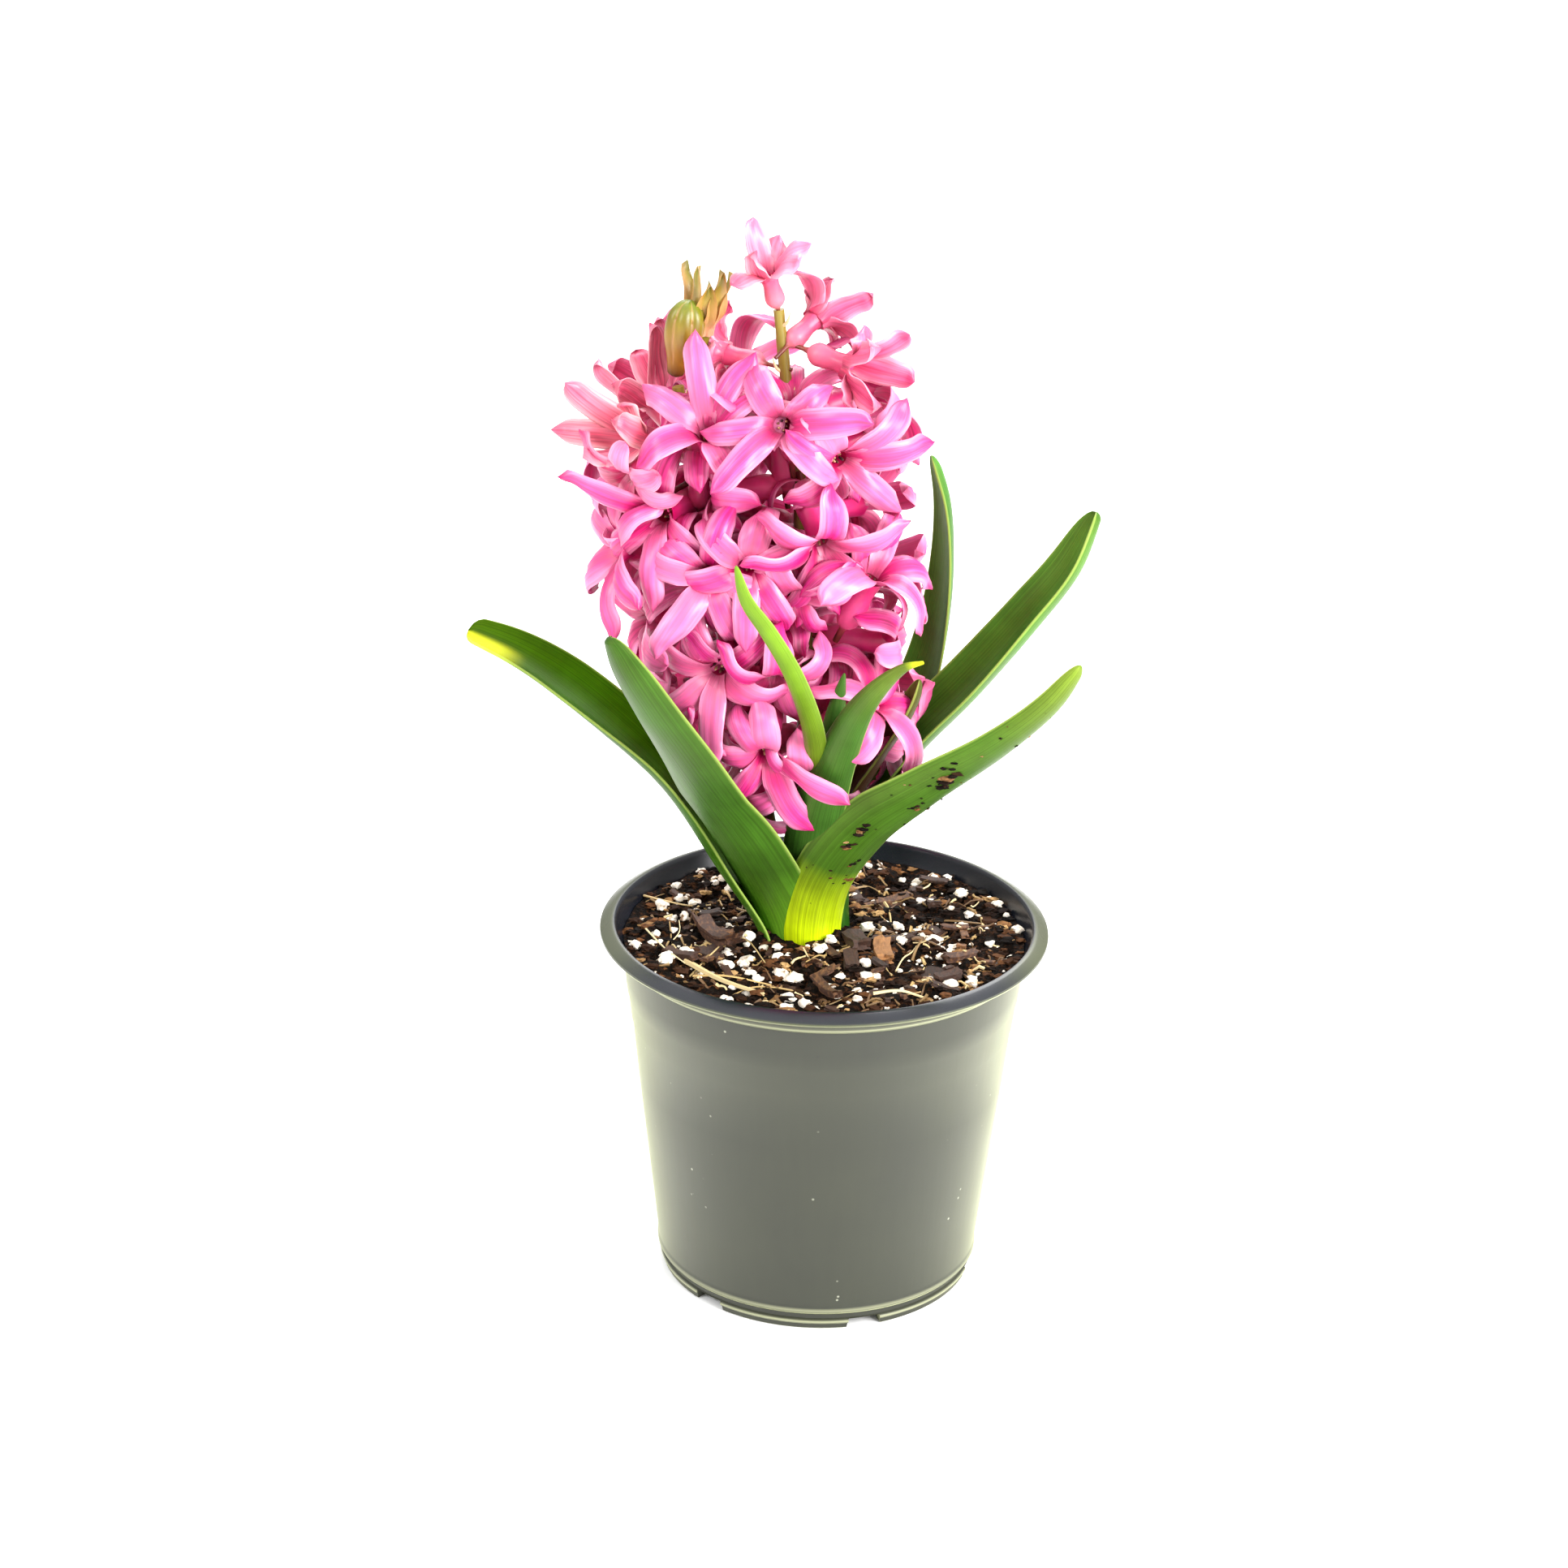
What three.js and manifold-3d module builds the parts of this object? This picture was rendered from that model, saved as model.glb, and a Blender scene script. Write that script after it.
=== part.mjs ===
// Potted hyacinth: a plastic nursery pot of potting mix, a bulb in it, nine leaves and
// two flower scapes whose florets interlock in one dense mass. Millimetres, +Z up,
// origin on the pot's axis at the surface it stands on.
import * as THREE from 'three';
import { mergeGeometries, mergeVertices } from 'three/addons/utils/BufferGeometryUtils.js';
import Module from 'manifold-3d';

const wasm = await Module();
wasm.setup();

const gap = 0.3; // clearance between neighbouring pieces
const sliver = 0.03; // detail too small to keep after a cut

// ---------- driving dimensions ----------
const pot = {
  height: 89,
  lipRadius: 52.5, // outside of the rolled lip
  rimRadius: 47.3, // inside of the mouth
  wall: 1.0,
  topRadius: 47.1, // outside of the wall under the lip
  topZ: 82,
  bottomRadius: 38.4, // outside of the wall at its foot
  bottomZ: 8,
  floorZ: 2.8,
  floorTop: 4.0,
  footRadius: 37.2,
  footInner: 34,
  footHeight: 2.9,
  feet: 6,
  footGap: 8.0, // width of the notch between two feet
  firstGap: -73.5, // degrees from +X
  padRadius: 7, // flat pad under the middle of the floor
  drainRadius: 3.4,
  drainAt: 28.5,
  segments: 32,
};
const soil = {
  surface: 82.3,
  relief: 1.1,
  segments: 26,
  rings: [37, 27, 17],
  perlite: 20,
  bark: 8,
};
const shoot = { x: -4, y: 8, hole: 12.8 }; // axis of the bulb and its neck
const bulb = { bottom: 32, top: 76.5, radius: 22, neck: 10.5 };
const leafBaseZ = bulb.top + gap;

const colours = {
  pot: 0x5d6158,
  soil: 0x3a271a,
  bulb: 0x8d4a63,
  scape: 0x7d7434,
  leaf: 0x4a8a33,
  glaucous: 0x5c8f4e,
  thinLeaf: 0x7fa23a,
  sheath: 0x7a5a3c,
  floret: 0xee5fbd,
  upperFloret: 0xf3a6b8,
  bud: 0xa8923a,
};

// ---------- solids ----------
function solidOf(geometry, frame = new THREE.Matrix4()) {
  const bare = geometry.clone();
  bare.deleteAttribute('normal');
  bare.deleteAttribute('uv');
  const merged = mergeVertices(bare, 1e-4).applyMatrix4(frame);
  const position = merged.attributes.position;
  const index = Array.from(merged.index.array);
  const kept = [];
  let volume = 0;
  const a = new THREE.Vector3();
  const b = new THREE.Vector3();
  const c = new THREE.Vector3();
  for (let i = 0; i < index.length; i += 3) {
    const [p, q, r] = index.slice(i, i + 3);
    if (p === q || q === r || p === r) continue;
    kept.push(p, q, r);
    a.fromBufferAttribute(position, p);
    b.fromBufferAttribute(position, q);
    c.fromBufferAttribute(position, r);
    volume += a.dot(b.cross(c));
  }
  if (volume < 0) {
    for (let i = 0; i < kept.length; i += 3) [kept[i], kept[i + 1]] = [kept[i + 1], kept[i]];
  }
  return new wasm.Manifold(
    new wasm.Mesh({
      numProp: 3,
      vertProperties: new Float32Array(position.array),
      triVerts: new Uint32Array(kept),
    }),
  );
}

function joined(solids) {
  return wasm.Manifold.union(solids);
}

// The largest of a solid's separate bodies, without the slivers that cuts leave.
function mainBody(solid) {
  return solid
    .decompose()
    .sort((p, q) => q.volume() - p.volume())[0]
    .simplify(sliver);
}

function meshOf(name, solid, colour, roughness) {
  const mesh = solid.getMesh();
  const geometry = new THREE.BufferGeometry();
  geometry.setAttribute('position', new THREE.BufferAttribute(mesh.vertProperties, 3));
  geometry.setIndex(new THREE.BufferAttribute(mesh.triVerts, 1));
  geometry.computeVertexNormals();
  const material = new THREE.MeshStandardMaterial({ color: colour, roughness, metalness: 0 });
  const part = new THREE.Mesh(geometry, material);
  part.name = name;
  return part;
}

// Moves each vertex of a unit cylinder or cone: turn is 0 to 1 round the axis, along is 0 at
// the bottom and 1 at the top, onAxis marks the middle of a flat end.
function reshaped(geometry, place) {
  const position = geometry.attributes.position;
  for (let i = 0; i < position.count; i++) {
    const x = position.getX(i);
    const z = position.getZ(i);
    const turn = (Math.atan2(x, z) / (2 * Math.PI) + 1) % 1;
    const along = position.getY(i) + 0.5;
    const onAxis = Math.hypot(x, z) < 1e-6;
    const point = place(turn, along, onAxis);
    position.setXYZ(i, point.x, point.y, point.z);
  }
  return geometry;
}

// the same small generator gives the same draws for the same seed
function drawsFrom(seed) {
  let state = seed;
  return () => {
    state = (state * 1664525 + 1013904223) % 4294967296;
    return state / 4294967296;
  };
}

const vector = (x, y, z) => new THREE.Vector3(x, y, z);
const radians = (degrees) => (degrees * Math.PI) / 180;
const mix = (from, to, t) => from + (to - from) * t;

// ---------- pot ----------
function wallRadius(z) {
  return mix(pot.bottomRadius, pot.topRadius, (z - pot.bottomZ) / (pot.topZ - pot.bottomZ));
}

function potSolid() {
  const lipArc = [];
  const lipMiddle = { r: (pot.lipRadius + pot.rimRadius) / 2, z: 86.3 };
  const lipReach = (pot.lipRadius - pot.rimRadius) / 2;
  const arcSteps = 4;
  for (let i = 0; i <= arcSteps; i++) {
    const angle = Math.PI * (i / arcSteps);
    lipArc.push([
      lipMiddle.r + lipReach * Math.cos(angle),
      lipMiddle.z + (pot.height - lipMiddle.z) * Math.sin(angle),
    ]);
  }
  const skirtBottom = 84.4;
  const profile = [
    [0, 0],
    [pot.padRadius, 0],
    [pot.padRadius + 0.6, pot.floorZ],
    [pot.footInner, pot.floorZ],
    [pot.footInner + 0.3, 0],
    [pot.footRadius - 0.3, 0],
    [pot.footRadius, pot.footHeight],
    [pot.bottomRadius - 0.6, 3.2],
    [pot.bottomRadius + 0.3, 5.4],
    [pot.bottomRadius, pot.bottomZ],
    [pot.topRadius, pot.topZ],
    [pot.rimRadius + 0.7, 85.6],
    [lipMiddle.r, 87.9],
    [pot.lipRadius - 1.2, 86.4],
    [pot.lipRadius - 1.3, skirtBottom],
    [pot.lipRadius - 0.4, skirtBottom],
    ...lipArc,
    [pot.topRadius - pot.wall, pot.topZ],
    [pot.bottomRadius - pot.wall, pot.bottomZ],
    [pot.bottomRadius - pot.wall - 1.2, pot.floorTop],
    [0, pot.floorTop],
  ];
  const points = profile.map(([r, z]) => new THREE.Vector2(r, z));
  const shell = new THREE.LatheGeometry(points, pot.segments).rotateX(Math.PI / 2);
  let body = solidOf(shell);
  for (let i = 0; i < pot.feet; i++) {
    const angle = radians(pot.firstGap + (i * 360) / pot.feet);
    const notch = new THREE.BoxGeometry(8, pot.footGap, 2 * pot.floorZ)
      .translate(35.5, 0, 0)
      .rotateZ(angle);
    const drain = new THREE.CylinderGeometry(pot.drainRadius, pot.drainRadius, 6, 8)
      .rotateX(Math.PI / 2)
      .translate(pot.drainAt, 0, 3)
      .rotateZ(angle);
    body = body.subtract(solidOf(notch)).subtract(solidOf(drain));
  }
  return body;
}

// ---------- bulb ----------
function bulbSolid(grow) {
  const middle = mix(bulb.bottom, bulb.top, 0.42);
  const profile = [
    [0, bulb.bottom - grow],
    [bulb.radius * 0.5 + grow, bulb.bottom - grow],
    [bulb.radius * 0.86 + grow, bulb.bottom + 6],
    [bulb.radius + grow, middle],
    [bulb.radius * 0.84 + grow, middle + 12],
    [bulb.neck * 1.12 + grow, bulb.top - 6],
    [bulb.neck + grow, bulb.top + grow],
    [0, bulb.top + grow],
  ];
  const points = profile.map(([r, z]) => new THREE.Vector2(r, z));
  return solidOf(
    new THREE.LatheGeometry(points, 14).rotateX(Math.PI / 2).translate(shoot.x, shoot.y, 0),
  );
}

// ---------- scapes ----------
const scapes = {
  main: {
    points: [
      [-3.5, 10.5, leafBaseZ],
      [-5, 9.5, 130],
      [-8, 8, 191],
      [-11, 8, 212],
      [-13.4, 8, 232],
    ],
    baseRadius: 2.9,
    tipRadius: 1.2,
  },
  side: {
    points: [
      [-10, 9.8, leafBaseZ],
      [-15, 10, 118],
      [-22, 9, 155],
      [-30.5, 8, 190],
      [-35.5, 8, 214],
    ],
    baseRadius: 2.1,
    tipRadius: 1.3,
  },
};
for (const scape of Object.values(scapes)) {
  scape.curve = new THREE.CatmullRomCurve3(scape.points.map((p) => vector(...p)));
}

function scapeRadius(scape, t) {
  return mix(scape.baseRadius, scape.tipRadius, t);
}

// a round stem along a scape's curve from one part of its length to another
function stemSolid(scape, from, to, grow, sides, steps) {
  const geometry = new THREE.CylinderGeometry(1, 1, 1, sides, steps);
  return solidOf(
    reshaped(geometry, (turn, along, onAxis) => {
      const t = mix(from, to, along);
      const centre = scape.curve.getPointAt(Math.min(Math.max(t, 0), 1));
      const tangent = scape.curve.getTangentAt(Math.min(Math.max(t, 0), 1));
      const length = scape.curve.getLength();
      centre.addScaledVector(tangent, (t - Math.min(Math.max(t, 0), 1)) * length);
      if (onAxis) return centre;
      const side = vector(0, 1, 0).cross(tangent).normalize();
      const front = tangent.clone().cross(side);
      const radius = scapeRadius(scape, Math.min(Math.max(t, 0), 1)) + grow;
      const angle = turn * 2 * Math.PI;
      return centre
        .addScaledVector(side, radius * Math.cos(angle))
        .addScaledVector(front, radius * Math.sin(angle));
    }),
  );
}

// part of a scape's length at which it reaches a height
function partAtHeight(scape, z) {
  let low = 0;
  let high = 1;
  for (let i = 0; i < 24; i++) {
    const middle = (low + high) / 2;
    if (scape.curve.getPointAt(middle).z < z) low = middle;
    else high = middle;
  }
  return (low + high) / 2;
}

// ---------- leaves ----------
// middle: points of the leaf's midline; width: across at its base, its widest and near its tip;
// faces: where the hollow inner face looks, at the base and at the tip; fold: half the angle
// that the blade bends round, in radians, at base, middle and tip.
const leaves = {
  leaf_front_right: {
    middle: [
      [-2, -0.6, leafBaseZ], [-2.6, -1.4, 87], [-0.4, -5, 99.8], [8.1, -9, 114],
      [22.1, -13, 125.8], [37.3, -16, 136.6], [49, -18, 147.9], [54.9, -19, 157.4],
    ],
    width: [14, 17, 9.5],
    faces: [[-0.1, 1, 0.1], [-0.45, 0.75, 0.5]],
    fold: [0.95, 0.35, 0.9],
    colour: colours.glaucous,
  },
  leaf_front_left: {
    middle: [
      [-7.5, 2.2, leafBaseZ], [-9.6, 1.2, 89], [-17.6, -5, 109], [-28.7, -12, 127.5],
      [-39.8, -18, 144.3], [-45.7, -21, 155], [-48.4, -22, 162.6],
    ],
    width: [12, 20, 12],
    faces: [[0.45, 0.9, 0.1], [0.75, 0.5, 0.5]],
    fold: [0.8, 0.4, 1.15],
    colour: colours.glaucous,
  },
  leaf_left: {
    middle: [
      [-12.6, 6.4, leafBaseZ], [-14.2, 6.2, 84], [-24.5, 7, 100.5], [-36.5, 10, 118.5],
      [-50.5, 14, 131], [-62.5, 18, 139.6], [-73.5, 20, 146], [-84.4, 22, 150.4],
    ],
    width: [6, 17.5, 12.5],
    faces: [[1, -0.1, 0.1], [0.2, -0.55, 0.85]],
    fold: [0.5, 0.75, 0.5],
    colour: colours.leaf,
  },
  leaf_right: {
    middle: [
      [4.8, 11.5, leafBaseZ], [4, 11, 92], [6.6, 12, 106.5], [18.6, 14, 125.5],
      [33, 16, 141.4], [46.1, 18, 157.2], [55.2, 19, 170], [60.2, 20, 183],
    ],
    width: [11, 16, 9],
    faces: [[-1, -0.4, 0.1], [-0.75, -0.5, 0.4]],
    fold: [0.9, 0.5, 0.75],
    colour: colours.leaf,
  },
  leaf_back_right: {
    middle: [
      [-2, 16.5, leafBaseZ], [0, 17, 92], [4.5, 20, 106], [13.5, 26, 121.5],
      [21.5, 30, 137], [25.5, 31.5, 153], [26.5, 32, 168], [25.5, 31.5, 181.5], [22.2, 30, 192.5],
    ],
    width: [11, 12, 6],
    faces: [[-0.1, -1, 0.1], [-0.95, -0.25, 0.1]],
    fold: [0.8, 0.5, 0.6],
    colour: colours.leaf,
  },
  leaf_centre: {
    middle: [
      [-3.2, 3.2, leafBaseZ], [-4.6, 0.2, 96], [-3, -8, 116], [1.2, -14.5, 134],
      [6.1, -20, 148], [11.4, -24, 156.6], [16.1, -25, 160.9], [20, -25, 162.2],
    ],
    width: [8, 11.5, 3.4],
    faces: [[0, 1, 0.1], [0.55, 0.8, 0.3]],
    fold: [0.7, 0.35, 0.9],
    colour: colours.glaucous,
  },
  leaf_thin_front: {
    middle: [
      [-7.2, 5.6, leafBaseZ], [-5.5, 3, 98], [-3.4, -6, 121], [-3.6, -15, 139.5],
      [-8.1, -25, 157.4], [-14.2, -30, 170.4], [-19, -32, 178.4], [-21.3, -32, 186],
    ],
    width: [3.5, 5.5, 2.6],
    faces: [[0.1, 1, 0.2], [0.6, 0.8, 0.1]],
    fold: [0.5, 0.45, 0.6],
    colour: colours.thinLeaf,
  },
  leaf_small_inner: {
    middle: [
      [0.4, 4.6, leafBaseZ], [-0.4, 2.5, 97], [-0.6, -2, 117], [0.2, -8.5, 134], [1.6, -13, 147.6],
      [2.9, -15, 155.5],
    ],
    width: [4.5, 7, 3],
    faces: [[0, 1, 0.1], [0.2, 1, 0.2]],
    fold: [0.5, 0.5, 0.8],
    colour: colours.leaf,
  },
  leaf_sheath: {
    middle: [
      [1.8, 7.6, leafBaseZ], [1.6, 6.2, 100], [6.2, 4, 117.5], [12.1, 2, 130.5], [17.6, 0, 141],
      [20.2, -1, 149],
    ],
    width: [7, 10, 4.5],
    faces: [[-0.8, 0.5, 0.2], [-0.75, -0.45, 0.5]],
    fold: [0.6, 0.95, 0.95],
    colour: colours.sheath,
  },
};
const blade = {
  edge: 0.8, // thickness
  middle: 1.7,
  across: 4, // facets
  along: 10,
  acrossNarrow: 2, // facets across a leaf narrower than this
  narrow: 9,
  widestAt: 0.45, // part of its length
  roundFrom: 0.86,
  roundTo: 1.012,
};

// width of a leaf along its length: quick growth from the base, blunt round tip
function leafWidth(width, t) {
  const [base, widest, nearTip] = width;
  const { widestAt, roundFrom, roundTo } = blade;
  const body = t < widestAt
    ? mix(base, widest, Math.sin((t / widestAt) * (Math.PI / 2)))
    : mix(widest, nearTip, Math.pow((t - widestAt) / (1 - widestAt), 1.8));
  const intoTip = Math.max((t - roundFrom) / (roundTo - roundFrom), 0);
  return body * Math.sqrt(Math.max(1 - intoTip * intoTip, 0));
}

function leafFold(fold, t) {
  return t < 0.5 ? mix(fold[0], fold[1], t * 2) : mix(fold[1], fold[2], t * 2 - 1);
}

function leafCurve(leaf) {
  return new THREE.CatmullRomCurve3(leaf.middle.map((p) => vector(...p)));
}

function leafSolid(leaf, grow) {
  const curve = leafCurve(leaf);
  const strips = leaf.width[1] < blade.narrow ? blade.acrossNarrow : blade.across;
  const sides = 2 * (strips + 1);
  const geometry = new THREE.CylinderGeometry(1, 1, 1, sides, blade.along);
  return solidOf(
    reshaped(geometry, (turn, along, onAxis) => {
      const centre = curve.getPointAt(along);
      const tangent = curve.getTangentAt(along);
      const end = along < 1e-6 ? -1 : along > 1 - 1e-6 ? 1 : 0;
      centre.addScaledVector(tangent, end * grow);
      const face = vector(...leaf.faces[0]).lerp(vector(...leaf.faces[1]), along);
      const normal = face.addScaledVector(tangent, -face.dot(tangent)).normalize();
      const side = tangent.clone().cross(normal);
      const half = leafWidth(leaf.width, along) / 2 + grow;
      const fold = leafFold(leaf.fold, along);
      const step = Math.round(turn * sides) % sides;
      const inner = step <= strips;
      const facet = inner ? step : 2 * strips + 1 - step;
      const across = onAxis ? 0 : -1 + (2 * facet) / strips;
      const lateral = (half * Math.sin(fold * across)) / fold;
      const rise = (half * (1 - Math.cos(fold * across))) / fold;
      const thick = mix(blade.middle, blade.edge, across * across) * Math.min(1, half / 2.5 + 0.35);
      const depth = onAxis ? -thick / 2 : inner ? grow : -thick - grow;
      return centre
        .addScaledVector(side, lateral - depth * Math.sin(fold * across))
        .addScaledVector(normal, rise + depth * Math.cos(fold * across));
    }),
  );
}

// ---------- florets ----------
const floret = {
  stalk: 4.4, // pedicel
  stalkRadius: 1.0,
  tube: 14,
  tubeRadius: 3.2,
  throat: 1.3, // depth of the mouth
  tepalLength: 22,
  tepalWidth: 6.0,
  startAngle: 18,
  tepalThick: 1.1,
  tepals: 6,
  steps: 4,
};

// Midline of a tepal in the plane through the floret's axis: away is the distance from the
// axis, out is the distance along it. It leaves the tube at one angle and curls to another.
function tepalMidline(t, size, startAngle, endAngle) {
  const length = floret.tepalLength * size;
  let away = floret.tubeRadius * 0.72 * size;
  let out = (floret.stalk + floret.tube) * size;
  const steps = 24;
  for (let i = 0; i < steps; i++) {
    const angle = radians(mix(startAngle, endAngle, (t * (i + 0.5)) / steps));
    away += (Math.sin(angle) * length * t) / steps;
    out += (Math.cos(angle) * length * t) / steps;
  }
  return { away, out, angle: radians(mix(startAngle, endAngle, t)) };
}

// narrow where it leaves the tube, widest past its middle, blunt at the tip
function tepalWidthAt(t) {
  return floret.tepalWidth * (t < 0.5 ? mix(0.45, 1, t * 2) : mix(1, 0.9, t * 2 - 1));
}

// an upright set of axes at a point, its third axis along a direction
function frameAt(point, direction, roll) {
  const axis = direction.clone().normalize();
  const level = Math.abs(axis.z) > 0.95 ? vector(1, 0, 0) : vector(0, 0, 1);
  const side = level.clone().cross(axis).normalize();
  const up = axis.clone().cross(side);
  const turned = side.clone().multiplyScalar(Math.cos(roll)).addScaledVector(up, Math.sin(roll));
  const other = axis.clone().cross(turned);
  return new THREE.Matrix4().makeBasis(turned, other, axis).setPosition(point);
}

// One floret as a closed body: a six-sided tube on its stalk, and on each side of its mouth a
// three-cornered tepal. curls holds the end angle of each tepal, size scales the flower.
function floretSolid(spec, grow) {
  const size = spec.size;
  const sides = floret.tepals;
  const stalk = floret.stalk * size;
  const tubeTop = stalk + floret.tube * size;
  const mouth = floret.tubeRadius * 0.86 * size + grow;
  const throat = vector(0, 0, tubeTop - floret.throat * size + 2 * grow);
  const ringPoint = (k, radius, z) => {
    const angle = ((k % sides) * 2 * Math.PI) / sides;
    return vector(radius * Math.cos(angle), radius * Math.sin(angle), z);
  };
  const tubeRings = [
    [mouth, tubeTop],
    [floret.tubeRadius * size + grow, mix(stalk, tubeTop, 0.35)],
    [floret.stalkRadius + grow, stalk * 0.7],
  ];
  const tube = new THREE.ConeGeometry(1, 1, sides, tubeRings.length, true);
  const bodies = [
    reshaped(tube, (turn, along) => {
      const row = Math.round(along * tubeRings.length);
      if (row === tubeRings.length) return vector(0, 0, -1.5 - grow);
      return ringPoint(sides - Math.round(turn * sides), ...tubeRings[row]);
    }),
  ];
  for (let k = 0; k < sides; k++) {
    const angle = ((k + 0.5) * 2 * Math.PI) / sides;
    const radial = vector(Math.cos(angle), Math.sin(angle), 0);
    const side = vector(-Math.sin(angle), Math.cos(angle), 0);
    const tepal = new THREE.ConeGeometry(1, 1, 3, floret.steps, true);
    bodies.push(reshaped(tepal, (turn, along) => {
      const corner = Math.round(turn * 3) % 3;
      if (along < 1e-6 && corner === 0) return throat.clone();
      if (along < 1e-6) return ringPoint(k + corner - 1, mouth, tubeTop);
      const line = tepalMidline(along, size, spec.start, spec.curls[k]);
      const point = radial.clone().multiplyScalar(line.away).add(vector(0, 0, line.out));
      if (along > 1 - 1e-6) {
        return point
          .addScaledVector(radial, Math.sin(line.angle) * 2 * grow)
          .add(vector(0, 0, Math.cos(line.angle) * 2 * grow));
      }
      const back = radial
        .clone()
        .multiplyScalar(Math.cos(line.angle))
        .add(vector(0, 0, -Math.sin(line.angle)));
      const lift = floret.tepalThick / 2 + grow;
      const half = ((tepalWidthAt(along) * size) / 2) * ((2 * lift) / floret.tepalThick);
      if (corner === 0) return point.addScaledVector(back, -lift);
      point.addScaledVector(side, (corner === 1 ? -1 : 1) * half);
      return point.addScaledVector(back, lift);
    }));
  }
  const frame = frameAt(spec.at, spec.direction, spec.roll);
  return solidOf(mergeGeometries(bodies), frame);
}

// Rings of florets up each scape: height of their stalks, how many, where the first one
// looks (degrees from +X), the step round to the next, and how far they rise or droop.
const rings = {
  main: [
    { z: 134, count: 3, first: -112, step: 118, rise: -27 },
    { z: 147, count: 4, first: -44, step: 78, rise: -14 },
    { z: 158, count: 3, first: -96, step: 84, rise: -6 },
    { z: 169, count: 4, first: -44, step: 70, rise: 0 },
    { z: 181, count: 4, first: -84, step: 72, rise: 2 },
    { z: 193, count: 4, first: -36, step: 74, rise: 7 },
    { z: 205, count: 3, first: -92, step: 110, rise: 12 },
  ],
  side: [
    { z: 149, count: 2, first: -112, step: -100, rise: -20 },
    { z: 164, count: 2, first: -165, step: -72, rise: -10 },
    { z: 177, count: 3, first: -98, step: -66, rise: 0 },
    { z: 191, count: 3, first: -150, step: -60, rise: 2 },
    { z: 202, count: 3, first: -84, step: -86, rise: 10 },
  ],
};
const settling = {
  choices: 14, // poses that each floret tries
  rounds: 3,
  clear: 3.6, // distance that two tepals' midlines keep if they can
  turn: 10, // degrees either way
  shift: 2.5, // along the scape either way
  curl: [132, 228],
};

// One pose of a floret: a ring's place with small random turns.
function drawnPose(place, draw) {
  const azimuth = radians(place.azimuth + (draw() * 2 - 1) * settling.turn);
  const rise = radians(place.rise + (draw() * 2 - 1) * settling.turn);
  const z = place.z + (draw() * 2 - 1) * settling.shift;
  const roll = (draw() * 2 * Math.PI) / floret.tepals;
  const size = 0.95 + draw() * 0.12;
  const curls = [];
  for (let k = 0; k < floret.tepals; k++) curls.push(mix(...settling.curl, draw()));
  const direction = vector(
    Math.cos(azimuth) * Math.cos(rise),
    Math.sin(azimuth) * Math.cos(rise),
    Math.sin(rise),
  );
  const at = place.scape.curve.getPointAt(partAtHeight(place.scape, z));
  return { at, direction, roll, size, curls, start: floret.startAngle };
}

// points down the middle of a floret's tube and its tepals
function floretPoints(pose) {
  const frame = frameAt(pose.at, pose.direction, pose.roll);
  const points = [0.5, 0.95].map((part) => vector(0, 0, (floret.stalk + floret.tube) * pose.size * part));
  for (let k = 0; k < floret.tepals; k++) {
    const angle = ((k + 0.5) * 2 * Math.PI) / floret.tepals;
    for (const t of [0.25, 0.5, 0.75, 1]) {
      const line = tepalMidline(t, pose.size, pose.start, pose.curls[k]);
      points.push(vector(line.away * Math.cos(angle), line.away * Math.sin(angle), line.out));
    }
  }
  return points.map((point) => point.applyMatrix4(frame));
}

function crowding(points, others) {
  let sum = 0;
  for (const point of points) {
    for (const other of others) {
      const near = settling.clear - point.distanceTo(other);
      if (near > 0) sum += near * near;
    }
  }
  return sum;
}

// Each floret in turn takes the least crowded of its poses, for a few rounds.
function settledFlorets(obstacles) {
  const draw = drawsFrom(3);
  const places = [];
  for (const [name, list] of Object.entries(rings)) {
    for (const ring of list) {
      for (let i = 0; i < ring.count; i++) {
        places.push({ ...ring, scape: scapes[name], azimuth: ring.first + i * ring.step });
      }
    }
  }
  const poses = places.map((place) => drawnPose(place, draw));
  const points = poses.map(floretPoints);
  for (let round = 0; round < settling.rounds; round++) {
    for (let i = 0; i < places.length; i++) {
      const near = points.filter((_, j) => j !== i && poses[j].at.distanceTo(poses[i].at) < 90).flat();
      const others = [...near, ...obstacles];
      let best = crowding(points[i], others);
      for (let choice = 0; choice < settling.choices; choice++) {
        const pose = drawnPose(places[i], draw);
        const posePoints = floretPoints(pose);
        const score = crowding(posePoints, others);
        if (score < best) {
          best = score;
          poses[i] = pose;
          points[i] = posePoints;
        }
      }
    }
  }
  return poses;
}

// loose florets near the top of the main scape, each on its own stalk
const looseFlorets = {
  floret_top: {
    z: 231.2,
    direction: [-0.22, -0.36, 0.9],
    size: 0.62,
    roll: 0.55,
    curls: [85, 40, 55, 95, 135, 120],
  },
  floret_upper_right: {
    z: 223.5,
    direction: [0.84, -0.15, 0.44],
    size: 0.66,
    roll: 0.3,
    curls: [45, 75, 80, 85, 65, 50],
  },
  floret_right: {
    z: 221,
    direction: [0.84, -0.42, -0.3],
    size: 0.78,
    roll: 0.75,
    curls: [80, 105, 80, 110, 100, 85],
  },
  floret_left: {
    z: 219,
    direction: [-0.76, 0.62, 0.1],
    size: 0.68,
    roll: 0.5,
    curls: [90, 105, 85, 110, 95, 80],
  },
};

function placedLoose(spec) {
  const at = scapes.main.curve.getPointAt(partAtHeight(scapes.main, spec.z));
  return { ...spec, at, direction: vector(...spec.direction), start: 12 };
}

function clearanceOf(solids, list) {
  return list.reduce((solid, cutter) => solid.subtract(cutter), solids);
}

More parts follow.
